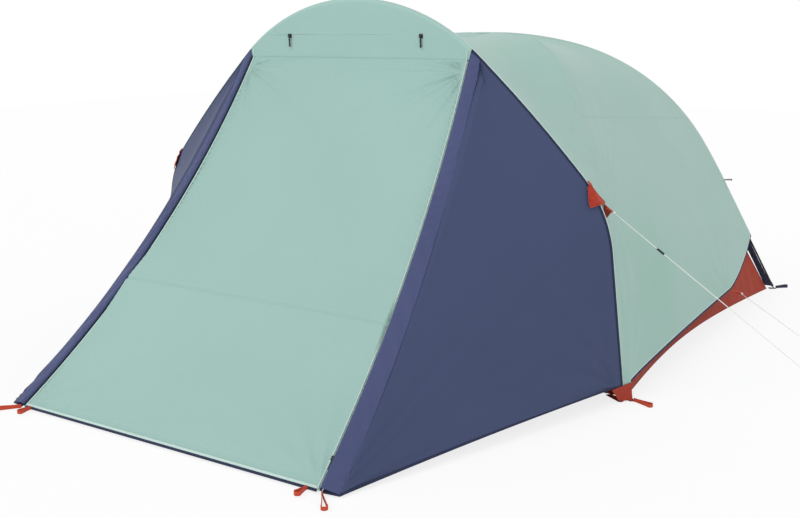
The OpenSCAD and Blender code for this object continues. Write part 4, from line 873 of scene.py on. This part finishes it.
# Piping along the door's edges and the brow, a pale tube along the hoop whose colour paints the highlight on its edge,
# the hoop's binding and the ridge seams
PIPE_OFF = -DOOR_EDGE + 0.0012
DOOR_PIPE_R, BROW_PIPE_R, HOOP_PIPING_HIGHLIGHT_R, RIDGE_R, HOOP_BINDING_W = 0.0029, 0.0026, 0.0021, 0.0016, 0.0085
Z = np.linspace(DOOR_FOOT_Z + 0.006, DOOR_TOP_Z, 200)
for name, sx in SIDES:
    piped(name + "_door_piping", sided(off_zip(Z, PIPE_OFF, 0.0024), sx), DOOR_PIPE_R, "piping_and_highlight", "door")
    z = np.linspace(DOOR_TOP_Z + 0.0012, float(head_hoop[2]) - 0.004, 20)
    line = points(off_zip(DOOR_TOP_Z, PIPE_OFF, 0)[0], brow_y(z) - 0.0042, z)
    piped(name + "_brow_piping", sided(line, sx), BROW_PIPE_R, "piping_and_highlight")
    # A pale tube along the hoop's edge: its pale colour paints the highlight that runs along that edge
    line = hoop_point(np.linspace(HOOP_HEM_S, HOOP["length"], 240), FLY_LIFT + 0.0008) + np.array([0, 0.0015, 0])
    piped(name + "_hoop_piping_and_highlight", sided(line, sx), HOOP_PIPING_HIGHLIGHT_R, "piping_and_highlight")
    _, _, lip, h = porch_edges(np.linspace(0, K_TOP, 200))
    line = 0.6 * h + 0.4 * lip
    line = line + (line - points(0, line[:, 1], CORE_Z)) * 0.0012
    trim = ribbon(name + "_hoop_binding", sided(line, sx), sided(h - lip, sx), HOOP_BINDING_W, "binding", "tent",
                  FLY_T)
    for label, sy, low in (("front", -1, DOME_HEM_S), ("rear", 1, REAR_HEM_S)):
        line = dome_point(np.linspace(low, DOME[sy]["length"] - PATCH_R, 220), 1, sy, FLY_LIFT - 0.0006)
        piped(f"{name}_{label}_ridge_seam", sided(line, sx), RIDGE_R, "seam")


# Hem bindings; above those of the sides and rear, a pale strip whose colour paints the highlight along the hem's fold
HEM_T, HEM_EDGE_T, PORCH_HEM_K, HEM_STAND = BINDING / 3.2, BINDING / 2.2, 0.36, 0.0009
HEM_BANDS = (("hem", 0, HEM_T, "binding"), ("hem_fold_painted_highlight", HEM_T, HEM_EDGE_T, "piping_and_highlight"))


def hem_band(name, surface, count, t0, t1, material, sx=1):
    """A band along the foot of a panel, just proud of it."""
    P = surface(*grid(count, 5, t0, t1))
    return cloth(name, sided(P + outward(P) * HEM_STAND, sx), material, None, HEM_BAND_T)


hems = []
for name, sx in SIDES:
    hems += [hem_band(f"{name}_side_{label}", side_panel, 160, t0, t1, mat, sx) for label, t0, t1, mat in HEM_BANDS]
    hems.append(hem_band(name + "_porch_hem", porch_panel, 120, 0, PORCH_HEM_K, "binding", sx))
hems += [hem_band("rear_" + label, rear_panel, 160, t0, t1, mat) for label, t0, t1, mat in HEM_BANDS]
dressed(joined("fly_hem_bindings", hems, "tent"), "fly_hems")

# The door's hem: a dark binding and above it a pale strip whose colour paints the highlight along the hem's fold
A, B = grid(161, 5, f0=-1)
hems = []
for label, foot, high, out, mat, thick in (
        ("binding", 0, 0.0050, 0.0028, "binding", 0.004),
        ("fold", 0.0051, 0.0060, 0.0036 + 0.0012 * arch(B), "piping_and_highlight", 0.002)):
    P = off_zip(DOOR_FOOT_Z + foot + high * B, -DOOR_EDGE, out)
    P[..., 0] *= A
    hems.append(cloth("door_hem_" + label, P, mat, None, thick))
dressed(joined("door_hem_trim", hems, "door"), "door_hem")

# Inner tent
def under_pole(s, sy):
    x, z, h = along(DOME_LOW[sy], s)
    return x - INNER_GAP * np.sin(h), z - INNER_GAP * np.cos(h)


def seam_s(sy):
    slope = along(DOME_LOW[sy], length_at(DOME_LOW[sy], INNER_WALL_Z, 1))[2]
    return float(length_at(DOME_LOW[sy], INNER_WALL_Z + INNER_GAP * np.cos(slope), 1))


SEAM = {sy: [float(q) for q in under_pole(np.array(seam_s(sy)), sy)] for sy in DOME_LOW}
SEAM_Z = min(SEAM[-1][1], SEAM[1][1])
RIM_GAP, INNER_TOP = 0.001, 0.063


def wall_r(z, sy):
    return FLOOR_R + (SEAM[sy][0] - FLOOR_R) * z / SEAM[sy][1]


def rim_z(f):
    return TUB_H + TUB_EAR * np.maximum(0, 1 - np.minimum(f, 1 - f) / 0.13) ** 1.4


def plan_corner(r, z, c):
    return points(c[0] * r * DIAG_X, MID_Y + c[1] * r * DIAG_Y, z)


def wall_point(f, z, a, b):
    """A point between two corners of the plan: all sides but the front bow inward at the floor."""
    p = mix(plan_corner(wall_r(z, a[1]), z, a), plan_corner(wall_r(z, b[1]), z, b), f)
    out = np.array([(a[0] + b[0]) / 2, max(0, (a[1] + b[1]) / 2), 0])
    return p - (FLOOR_BOW * arch(f) * (1 - z / SEAM_Z))[..., None] * out


F, V = np.meshgrid(np.linspace(0, 1, 121)[:-1], np.linspace(0, 1, 25))
ring = []
for i, c in enumerate(CORNERS):
    P = wall_point(F, V * rim_z(F), c, CORNERS[(i + 1) % 4])
    u, v = lengths(P)
    near = np.minimum(F, 1 - F)
    ring.append(pushed(P, smooth(V / 0.15) * (1 - 0.6 * V) * (
        0.005 * np.cos(2 * np.pi * (near * 2.2 / 0.10 + v / 0.22)) * np.exp(-near / 0.10)
        + 0.007 * radiating(u, v, 0, 0, 10, 0.24, 70 + i) + 0.007 * radiating(u, v, u[:, -1:], 0, 10, 0.24, 80 + i)
        + 0.0025 * waves(u, v, 60 + i, 5, 1.2, 3.2)) * smooth(near / 0.02)))
ring = np.concatenate(ring, 1)
walls = cloth("tub_walls", np.concatenate([ring, ring[:, :1]], 1), "rust", None, TUB_T)
A, B = grid(81, 81)
base = between_corners([plan_corner(FLOOR_R, 0.0015, c) for c in CORNERS], A, B)
base[..., 0] *= 1 - FLOOR_BOW * arch(B) / (FLOOR_R * DIAG_X)
base[..., 1] -= FLOOR_BOW * arch(A) * B
base[..., 2] += 0.0009 * (1 + waves(base[..., 0], base[..., 1], 66, 6, 0.8, 2.5) / 3) * edge_fade(A) * edge_fade(B)
bottom = cloth("tub_bottom", base, "rust", None, TUB_T, flip=False)
rim = tube("tub_rim", np.concatenate([ring[-1], ring[-1:, 0]]), 0.0018, "binding", None, 8, caps=False)
piece = dressed(joined("floor_tub_cloth", [walls, bottom, rim], "tent"), "floor_tub")

F, V = grid(81, 61, f0=0.0005, f1=0.9995)
low = rim_z(F) + RIM_GAP
for name, i in (("right", 1), ("left", 3), ("rear", 2)):
    P = wall_point(F, low + (SEAM_Z - low) * V, CORNERS[i], CORNERS[(i + 1) % 4])
    u, v = lengths(P)
    P = pushed(P, edge_fade(F) * edge_fade(V) * (0.004 * waves(u, v, 71, 6, 0.6, 1.8) - 0.010))
    panel(name + "_inner_cloth", P, "inner", name + "_inner_wall", thick=INNER_T)

WALL_RUN = (DIAG_Y * (FLOOR_R - SEAM[-1][0]), SEAM[-1][1])
TILT, WALL_L = math.atan2(*WALL_RUN), math.hypot(*WALL_RUN)
WALL_FOOT_Y = MID_Y - FLOOR_R * DIAG_Y


def on_front_wall(x, l, h=0.0):
    """Points on the front wall at a length l up its slope, standing h off it."""
    return points(x, WALL_FOOT_Y + l * math.sin(TILT) - h * math.cos(TILT), l * math.cos(TILT) + h * math.sin(TILT))


def wall_half(l):
    return (FLOOR_R + (SEAM[-1][0] - FLOOR_R) * l / WALL_L) * DIAG_X - 0.005


def ray_hits(centre, angles, outline):
    """Points where rays from a centre, one along each angle, meet an outline round it."""
    d = np.stack([np.cos(angles), np.sin(angles)], -1)
    a, b = outline - centre, np.roll(outline, -1, 0) - centre
    best = np.full(len(angles), 9.0)
    for p, q in zip(a, b - a):
        den = d[:, 0] * q[1] - d[:, 1] * q[0]
        den = np.where(np.abs(den) < 1e-9, 1e-9, den)
        t, k = (p[0] * q[1] - p[1] * q[0]) / den, (p[0] * d[:, 1] - p[1] * d[:, 0]) / den
        hit = (t > 0) & (k >= -1e-6) & (k <= 1 + 1e-6)
        best = np.where(hit & (t < best), t, best)
    return best[:, None] * d + centre


def half_moon(r, low):
    a = np.linspace(0, np.pi, 90)
    arc = np.stack([r * np.cos(a), low + r * np.sin(a)], -1)
    return np.concatenate([arc, [[-r * 0.5, low], [0, low], [r * 0.5, low]]])


ZIP_RING, ZIP_PLAY, RAYS = 0.012, 0.0028, 361
centre = np.array([0, INNER_HINGE + 0.24])
stops = np.linspace(0, 1, 41)
low = (rim_z(stops) + RIM_GAP) / math.cos(TILT)
outline = np.concatenate([np.stack([(2 * stops - 1) * wall_half(low), low], -1),
                          [[wall_half(WALL_L), WALL_L - 0.002], [-wall_half(WALL_L), WALL_L - 0.002]]])
angles = np.linspace(0, 2 * np.pi, RAYS)
inner = ray_hits(centre, angles, half_moon(INNER_DOOR_R + ZIP_RING, INNER_HINGE))
outer = ray_hits(centre, angles, outline)
R, A = np.meshgrid(np.linspace(0, 1, 15), np.arange(RAYS))
flat = inner[A] + (outer - inner)[A] * R[..., None]
x, l = flat[..., 0], flat[..., 1]
P = pushed(on_front_wall(x, l), 0.0022 * edge_fade(R, 0.2) * waves(x, l, 75, 6, 0.8, 2.4))
panel("front_inner_cloth", P, "inner", "front_inner_wall", thick=INNER_T)

shape = ray_hits(centre, angles, half_moon(INNER_DOOR_R, INNER_HINGE + 0.001))
R, A = np.meshgrid(np.linspace(0.01, 1, 41), np.arange(RAYS))
flat = centre + (shape - centre)[A] * R[..., None]
x, l = flat[..., 0], flat[..., 1]
P = pushed(on_front_wall(x, l), 0.002 * smooth((1 - R) / 0.15) * waves(x, l, 76, 6, 0.9, 2.6))
piece = dressed(cloth("inner_door_cloth", P, "mesh", "inner_door", INNER_T), "inner_door")
rim = on_front_wall(shape[:, 0], shape[:, 1], 0.0006)
trim = piped("inner_door_binding", rim, 0.0016, "binding", "inner_door", caps=False)

wide = np.linspace(INNER_DOOR_R + ZIP_PLAY, INNER_DOOR_R + ZIP_RING, 4)
arc, wide = np.meshgrid(np.radians(np.linspace(1, 179, 181)), wide, indexing="ij")
P = on_front_wall(wide * np.cos(arc), INNER_HINGE + wide * np.sin(arc), 0.0002)
dressed(cloth("inner_zip_tape", P, "zip", "tent"), "inner_zip")

t, f = np.linspace(0, 1, 61), np.linspace(0, 1, 41)[:-1]
legs = []
for c in CORNERS:
    s = seam_s(c[1]) + RIM_GAP + (DOME_LOW[c[1]]["length"] - INNER_TOP - seam_s(c[1])) * t
    legs.append(plan_corner(*under_pole(s, c[1]), c))
spans = [mix(legs[i][:, None] + 0 * f[:, None], legs[(i + 1) % 4][:, None], f) for i in range(4)]
roof_in = np.concatenate(spans + [legs[0][:, None]], 1)
roof_in = inset(roof_in, 0.012 * arch(np.append(np.tile(f, 4), 0)) + 0 * t[:, None])
top = roof_in[-1]
cap = np.concatenate([roof_in, top.mean(0) + (top - top.mean(0)) * np.array([0.66, 0.33, 0.02])[:, None, None]])
panel("inner_roof_cloth", cap, "inner", "inner_roof", thick=INNER_T)

# Straps and loops of webbing
STRAP_Z, PIN_R = 0.0018, 0.0032


def flat_strap(name, start, end, hole_r, material):
    """A strap along the ground that ends in a ring."""
    run = unit(end - start)
    n = np.linspace(0, 1, 24)[:, None]
    path = np.concatenate([start + (end - run * hole_r * 1.4 - start) * n, np.full((24, 1), STRAP_Z)], 1)
    strip = ribbon(name, path, [-run[1], run[0], 0], STRAP_W, material, None, WEB_T)
    r, a = np.meshgrid([hole_r, (hole_r + STRAP_W / 2) / 2, STRAP_W / 2], np.linspace(0, 2 * np.pi, 33))
    P = points(end[0] + r * np.cos(a), end[1] + r * np.sin(a), STRAP_Z)
    flip = np.cross(P[0, 1] - P[0, 0], P[1, 0] - P[0, 0])[2] < 0
    return [strip, cloth(name + "_end", P, material, None, WEB_T, flip)]


def foot_at(sy):
    return np.array([BASE_W / 2, MID_Y + sy * BASE_D / 2])


def floor_corner(sy):
    return np.array([FLOOR_R * DIAG_X, MID_Y + sy * FLOOR_R * DIAG_Y])


hoop_foot = np.array([HOOP_HALF, HOOP_Y])
straps = []
for name, sx in SIDES:
    flip = np.array([sx, 1])
    for label, sy, mat in (("front", -1, "web"), ("rear", 1, "dark_web")):
        a = floor_corner(sy) + 0.32 * (foot_at(sy) - floor_corner(sy))
        straps += flat_strap(f"{name}_{label}_strap", a * flip, foot_at(sy) * flip, PIN_R + 0.0022, mat)
    near = floor_corner(-1) - np.array([0.07, 0.013])
    straps += flat_strap(f"{name}_hoop_strap", near * flip, hoop_foot * flip, PIN_R + 0.0006, "web")
hem_lip = hoop_point(HOOP_HEM_S)
gusset_top = np.array([hem_lip - np.array([0.020, 0.060, 0.006]), hem_lip + np.array([0.002, 0, -0.001]),
                       dome_point(DOME_HEM_S, 1, -1, FLY_LIFT + 0.002)])
gusset_foot = np.array([[*(hoop_foot + np.array([0.002, -0.022])), 0.010],
                        [*(hoop_foot + np.array([0.012, -0.010])), 0.006],
                        [*(foot_at(-1) + np.array([0.010, -0.008])), 0.006]])
A, B = grid(33, 15, f1=2)
ends = [np.stack([np.interp(A, [0, 1, 2], e[:, i]) for i in range(3)], -1) for e in (gusset_top, gusset_foot)]
gusset = pushed(mix(*ends, B), 0.0016 * np.sin(7 * A + 3 * B) * arch(B))
for name, sx in SIDES:
    straps.append(cloth(name + "_front_gusset", sided(gusset, sx), "rust", None))
dressed(joined("corner_strap_webbing", straps, "tent"), "corner_straps")

ties = []
path = dome_point(np.linspace(0.014, REAR_HEM_S + 0.03, 40), 1, 1, 0.004) - np.array([0.027, 0.006, 0])
wide = 0.039 * (1 - 0.12 * arch(np.linspace(0, 1, 40)))
for name, sx in SIDES:
    ties.append(ribbon(name + "_rear_tie", sided(path, sx), [1, 0, 0], wide, "dark_web", None, LOOP_T, 0.002))
dressed(joined("rear_corner_webbing", ties, "tent"), "rear_corner_straps")


def eye_curve(l, at, r, sweep, turns, share, root, neck, count):
    """The outline of webbing that runs out to an eye and back, in even steps."""
    eye = [(at + r * math.cos(t), r * math.sin(t)) for t in np.linspace(-sweep, sweep, turns)]
    curve = np.array([(0, -root), (share * l, -neck)] + eye + [(share * l, neck), (0, root)])
    return at_runs(curve, np.linspace(0, run_along(curve)[-1], count))


def stake_loop(name, root, way, l, z, material, body):
    """Webbing standing on its edge, sewn at its root and opened into an eye."""
    way = np.array([way[0], way[1], 0.0])
    side_way = np.array([-way[1], way[0], 0])
    curve = eye_curve(l, l, EYE_R, 2.2, 40, 0.25, 0.0016, 0.0017, 120)
    path = np.array([root[0], root[1], z + LOOP_W / 2]) + curve[:, :1] * way + curve[:, 1:] * side_way
    return ribbon(name, path, [0, 0, 1], LOOP_W, material, body, LOOP_T)


# Where a loop is sewn, which way it runs, its start along that way, its length, foot, webbing and body
LOOPS = (
    ("porch", off_zip(DOOR_FOOT_Z, PANEL_EDGE, 0)[:2], (0.6606, -0.7507), 0.0021, 0.105, 0, "web", "tent"),
    ("front", foot_at(-1), (0.9536, -0.3011), 0.0133, 0.078, 0, "web", "tent"),
    ("rear", foot_at(1), (0.6223, 0.7829), 0.0133, 0.0647, 0, "dark_web", "tent"),
    ("door", np.array([0.682, -1.7445]), (0, -1), 0, 0.048, DOOR_FOOT_Z, "web", "door"))
for name, sx in SIDES:
    flip = np.array([sx, 1])
    for label, root, way, start, l, z, mat, body in LOOPS:
        way = np.array(way)
        loop = stake_loop(f"{name}_{label}_webbing", (root + way * start) * flip, way * flip, l, z, mat, body)
        dressed(loop, f"{name}_{label}_loop")

# Guy-outs at the hoop's elbows: two sewn wings that meet at a loop
WING_LIFT, GUY_Z, RIDGE_END = FLY_LIFT + 0.0025, 0.8, 0.062
GUY_SHARE, GUY_SEAT, REAR_GUY_Z = 0.36, 0.015, 0.6
HOOP_SPAN = HOOP_HEAD_S - HOOP_HEM_S - BINDING


def hoop_row_s(row):
    return HOOP_HEM_S + BINDING + HOOP_SPAN * (row - 1) / (PORCH_ROWS - 1)


def dome_span(hem, sy):
    return DOME[sy]["length"] - RIDGE_END - hem - BINDING


def dome_row_s(row, hem, sy):
    return hem + BINDING + dome_span(hem, sy) * (row - 1) / (ROWS - 1)


def dome_row_at(z, hem, sy):
    part = (float(length_at(DOME[sy], z, 1)) - hem - BINDING) / dome_span(hem, sy)
    return 1 + round(part * (ROWS - 1))


guy_part = (float(length_at(HOOP, GUY_Z / math.cos(LEAN), 1)) - HOOP_HEM_S - BINDING) / HOOP_SPAN
guy_row = 1 + math.floor(guy_part * (PORCH_ROWS - 1))
dome_row = dome_row_at(GUY_Z - 0.07, DOME_HEM_S, -1)
hoop_wing = [hoop_point(hoop_row_s(guy_row + k), WING_LIFT) for k in (1, 0)]
dome_wing = [dome_point(dome_row_s(dome_row + k, DOME_HEM_S, -1), 1, -1, WING_LIFT) for k in (0, -1)]
guy_foot = mix(hoop_wing[0] + hoop_wing[1], dome_wing[0] + dome_wing[1], GUY_SHARE) / 2
guy_root = inset(guy_foot, -GUY_SEAT)
guy_aim = GUY_ROUTE[0] - guy_root
guy_reach = float(np.linalg.norm(guy_aim))
guy_aim /= guy_reach
skin = np.concatenate([porch.reshape(-1, 3), half_roof.reshape(-1, 3), side.reshape(-1, 3)])
skin = skin[(np.abs(skin - guy_foot) < 0.35).all(1)]
DRAPE_REACH, DRAPE_STAND = 0.022, 0.0035


def draped(P):
    """A patch pushed out from the core line until it lies over the fly's cloth."""
    core = core_of(P)
    d = unit(P - core)
    rel = skin - core[..., None, :]
    along_ray = np.sum(rel * d[..., None, :], -1)
    aside = np.linalg.norm(rel - along_ray[..., None] * d[..., None, :], axis=-1)
    weight = np.exp(-(aside / (0.5 * DRAPE_REACH)) ** 2) + 1e-9
    r = np.sum(weight * along_ray, -1) / np.sum(weight, -1)
    r = np.maximum(r, np.max(np.where(aside < 0.6 * DRAPE_REACH, along_ray, 0), -1))
    return core + d * (r + DRAPE_STAND)[..., None]


HOOP_PATCH = np.array([[1.056, -0.462, 0.868], [1.098, -0.497, 0.778]])
HOOP_PATCH_TIP = np.array([1.031, -0.203, 0.750])
ROOF_PATCH = np.array([[1.031, -0.213, 0.748], [1.077, -0.352, 0.676]])
wings = []
A, B = grid(21, 25)
for label, (p, q), tip in (("hoop", HOOP_PATCH, HOOP_PATCH_TIP), ("roof", ROOF_PATCH, GUY_ROUTE[0] - 0.004 * guy_aim)):
    half = 0.004 * (q - p) / np.linalg.norm(q - p)
    P = mix(mix(p, q, A), mix(tip - half, tip + half, A), B)
    if label == "hoop":
        P = P + ((1 - A) * arch(B))[..., None] * np.array([-0.005, 0.0, 0.008])
        P = P + (arch(A) * (1 - B))[..., None] * np.array([-0.001, -0.006, 0.001])
        P = draped(P)
    else:
        P = mix(draped(P), P, smooth(B / 0.25))
    edge = np.concatenate([P[::-1, 0], P[0], P[:, -1]])
    for name, sx in SIDES:
        wings.append(cloth(f"{name}_{label}_wing", sided(P, sx), "guy", None, WEB_T))
        wings.append(tube(f"{name}_{label}_wing_edge", sided(edge, sx), 0.0014, "web", None, 6))
dressed(joined("guy_patch_cloth", wings, "tent"), "guy_patches")

TAB_EYE_R = 0.0036


def cross_ways(aim):
    """Two directions square to an aim, the first of them level."""
    level_way = unit(np.cross(aim, [0, 0, 1]))
    return level_way, np.cross(aim, level_way)


def tab_loop(name, start, aim, l, wide, material):
    """A webbing tab folded back on itself round a small eye."""
    level_way, n = cross_ways(aim)
    curve = eye_curve(l, l - TAB_EYE_R, TAB_EYE_R, np.pi / 2, 24, 0.45, 0.001, 0.0012, 60)
    return ribbon(name, start + curve[:, :1] * aim + curve[:, 1:] * n, level_way, wide, material, None, WEB_T)


hem_tie = side_panel(HEM_TIE_AT, 0)
hem_aim = HEM_ROUTE[0] - hem_tie
hem_reach = float(np.linalg.norm(hem_aim))
hem_aim /= hem_reach
rear_root = dome_point(dome_row_s(dome_row_at(REAR_GUY_Z, REAR_HEM_S, 1), REAR_HEM_S, 1), 1, 1, FLY_LIFT)
for node, start, aim, l, wide, mat in (
        ("guy_loops", guy_root, guy_aim, guy_reach + 0.001, 0.014, "web"),
        ("rear_guy_loops", rear_root, np.array([DIAG_X, DIAG_Y, 0]), 0.042, 0.014, "dark_web"),
        ("hem_tabs", hem_tie, hem_aim, hem_reach + 0.001, 0.016, "web")):
    both = [tab_loop(f"{name}_{node}", sided(start, sx), sided(aim, sx), l, wide, mat) for name, sx in SIDES]
    dressed(joined(node + "_webbing", both, "tent"), node)

# Knots where the lines are tied
KNOT_TURNS, KNOT_R, KNOT_PITCH = 3, 0.0034, 0.0032
for name, at, route in (("guyline_knot", GUY_ROUTE[0] + 0.007 * guy_aim, GUY_ROUTE),
                        ("hem_guyline_knot", HEM_ROUTE[0] + 0.006 * hem_aim, HEM_ROUTE)):
    axis = unit(route[1] - route[0])
    level_way, n = cross_ways(axis)
    t = np.linspace(0, 2 * np.pi * KNOT_TURNS, 24 * KNOT_TURNS)
    coil = KNOT_R * (np.cos(t)[:, None] * level_way + np.sin(t)[:, None] * n)
    piped(name, at + (t / t[-1] - 0.5)[:, None] * axis * KNOT_TURNS * KNOT_PITCH + coil, 0.0015, "cord")

# Finish of the rigid parts that the CAD already shapes
for nodes, mat in (
        (("hoop_pole", "lower_dome_pole", "upper_dome_pole"), "pole"),
        (("pole_ferrules", "corner_grommets"), "metal"),
        (("pole_tips", "crown_hub", "canopy_clips", "left_zip_slider", "right_zip_slider", "inner_zip_slider",
          "left_toggle", "right_toggle", "toggle_tabs", "guyline_tensioner"), "plastic")):
    for node in nodes:
        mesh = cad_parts[node].data
        mesh.materials.clear()
        mesh.materials.append(MAT[mat])

# Floor, backdrop and light
def seen_directly(tree):
    """One where a camera, glossy or transmission ray looks, and nought for the light that falls on things."""
    path = add(tree, "LightPath")
    last, out = path, "Is Camera Ray"
    for ray in ("Is Glossy Ray", "Is Transmission Ray"):
        either = add(tree, "Math", operation="MAXIMUM")
        wire(tree, (last, out, either, 0), (path, ray, either, 1))
        last, out = either, 0
    return last


GROUND_HALF, GROUND_Z, GLOW_PART, SKY_LIGHT = 14, -0.0006, 0.8, 0.74
mat, tree, bsdf = new_material("studio_floor")
put(bsdf, Base_Color=(0.99, 0.99, 0.99, 1), Roughness=0.95, Specular_IOR_Level=0.0)
glow = add(tree, "Emission", Strength=1.0)
part = add(tree, "Math", operation="MULTIPLY")
part.inputs[1].default_value = GLOW_PART
blend = add(tree, "MixShader")
wire(tree, (seen_directly(tree), 0, part, 0), (part, 0, blend, "Fac"), (bsdf, 0, blend, 1), (glow, 0, blend, 2),
     (blend, 0, tree.nodes["Material Output"], "Surface"))
ends = [(x * GROUND_HALF, y * GROUND_HALF, GROUND_Z) for x, y in CORNERS]
ground = mesh_object("floor", ends, [[0, 1, 2, 3]], mat)
ground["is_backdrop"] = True

world = bpy.data.worlds.new("studio")
bpy.context.scene.world = world
world.use_nodes = True
tree = world.node_tree
background = put(tree.nodes["Background"], Color=(1, 1, 1, 1))
level = add(tree, "MapRange", To_Min=SKY_LIGHT, To_Max=1.0)
wire(tree, (seen_directly(tree), 0, level, "Value"), (level, "Result", background, "Strength"))
for name, towards, strength, angle in (("key", (0.55, 0.9, -1.1), 0.72, 40), ("fill", (-0.9, 0.5, -0.5), 0.35, 70)):
    light = bpy.data.objects.new(name, bpy.data.lights.new(name, "SUN"))
    light.data.energy = strength
    light.data.angle = math.radians(angle)
    light.rotation_euler = Vector(towards).to_track_quat("-Z", "Y").to_euler()
    bpy.context.collection.objects.link(light)

bpy.context.scene.view_settings.view_transform = "Standard"

low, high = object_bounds()
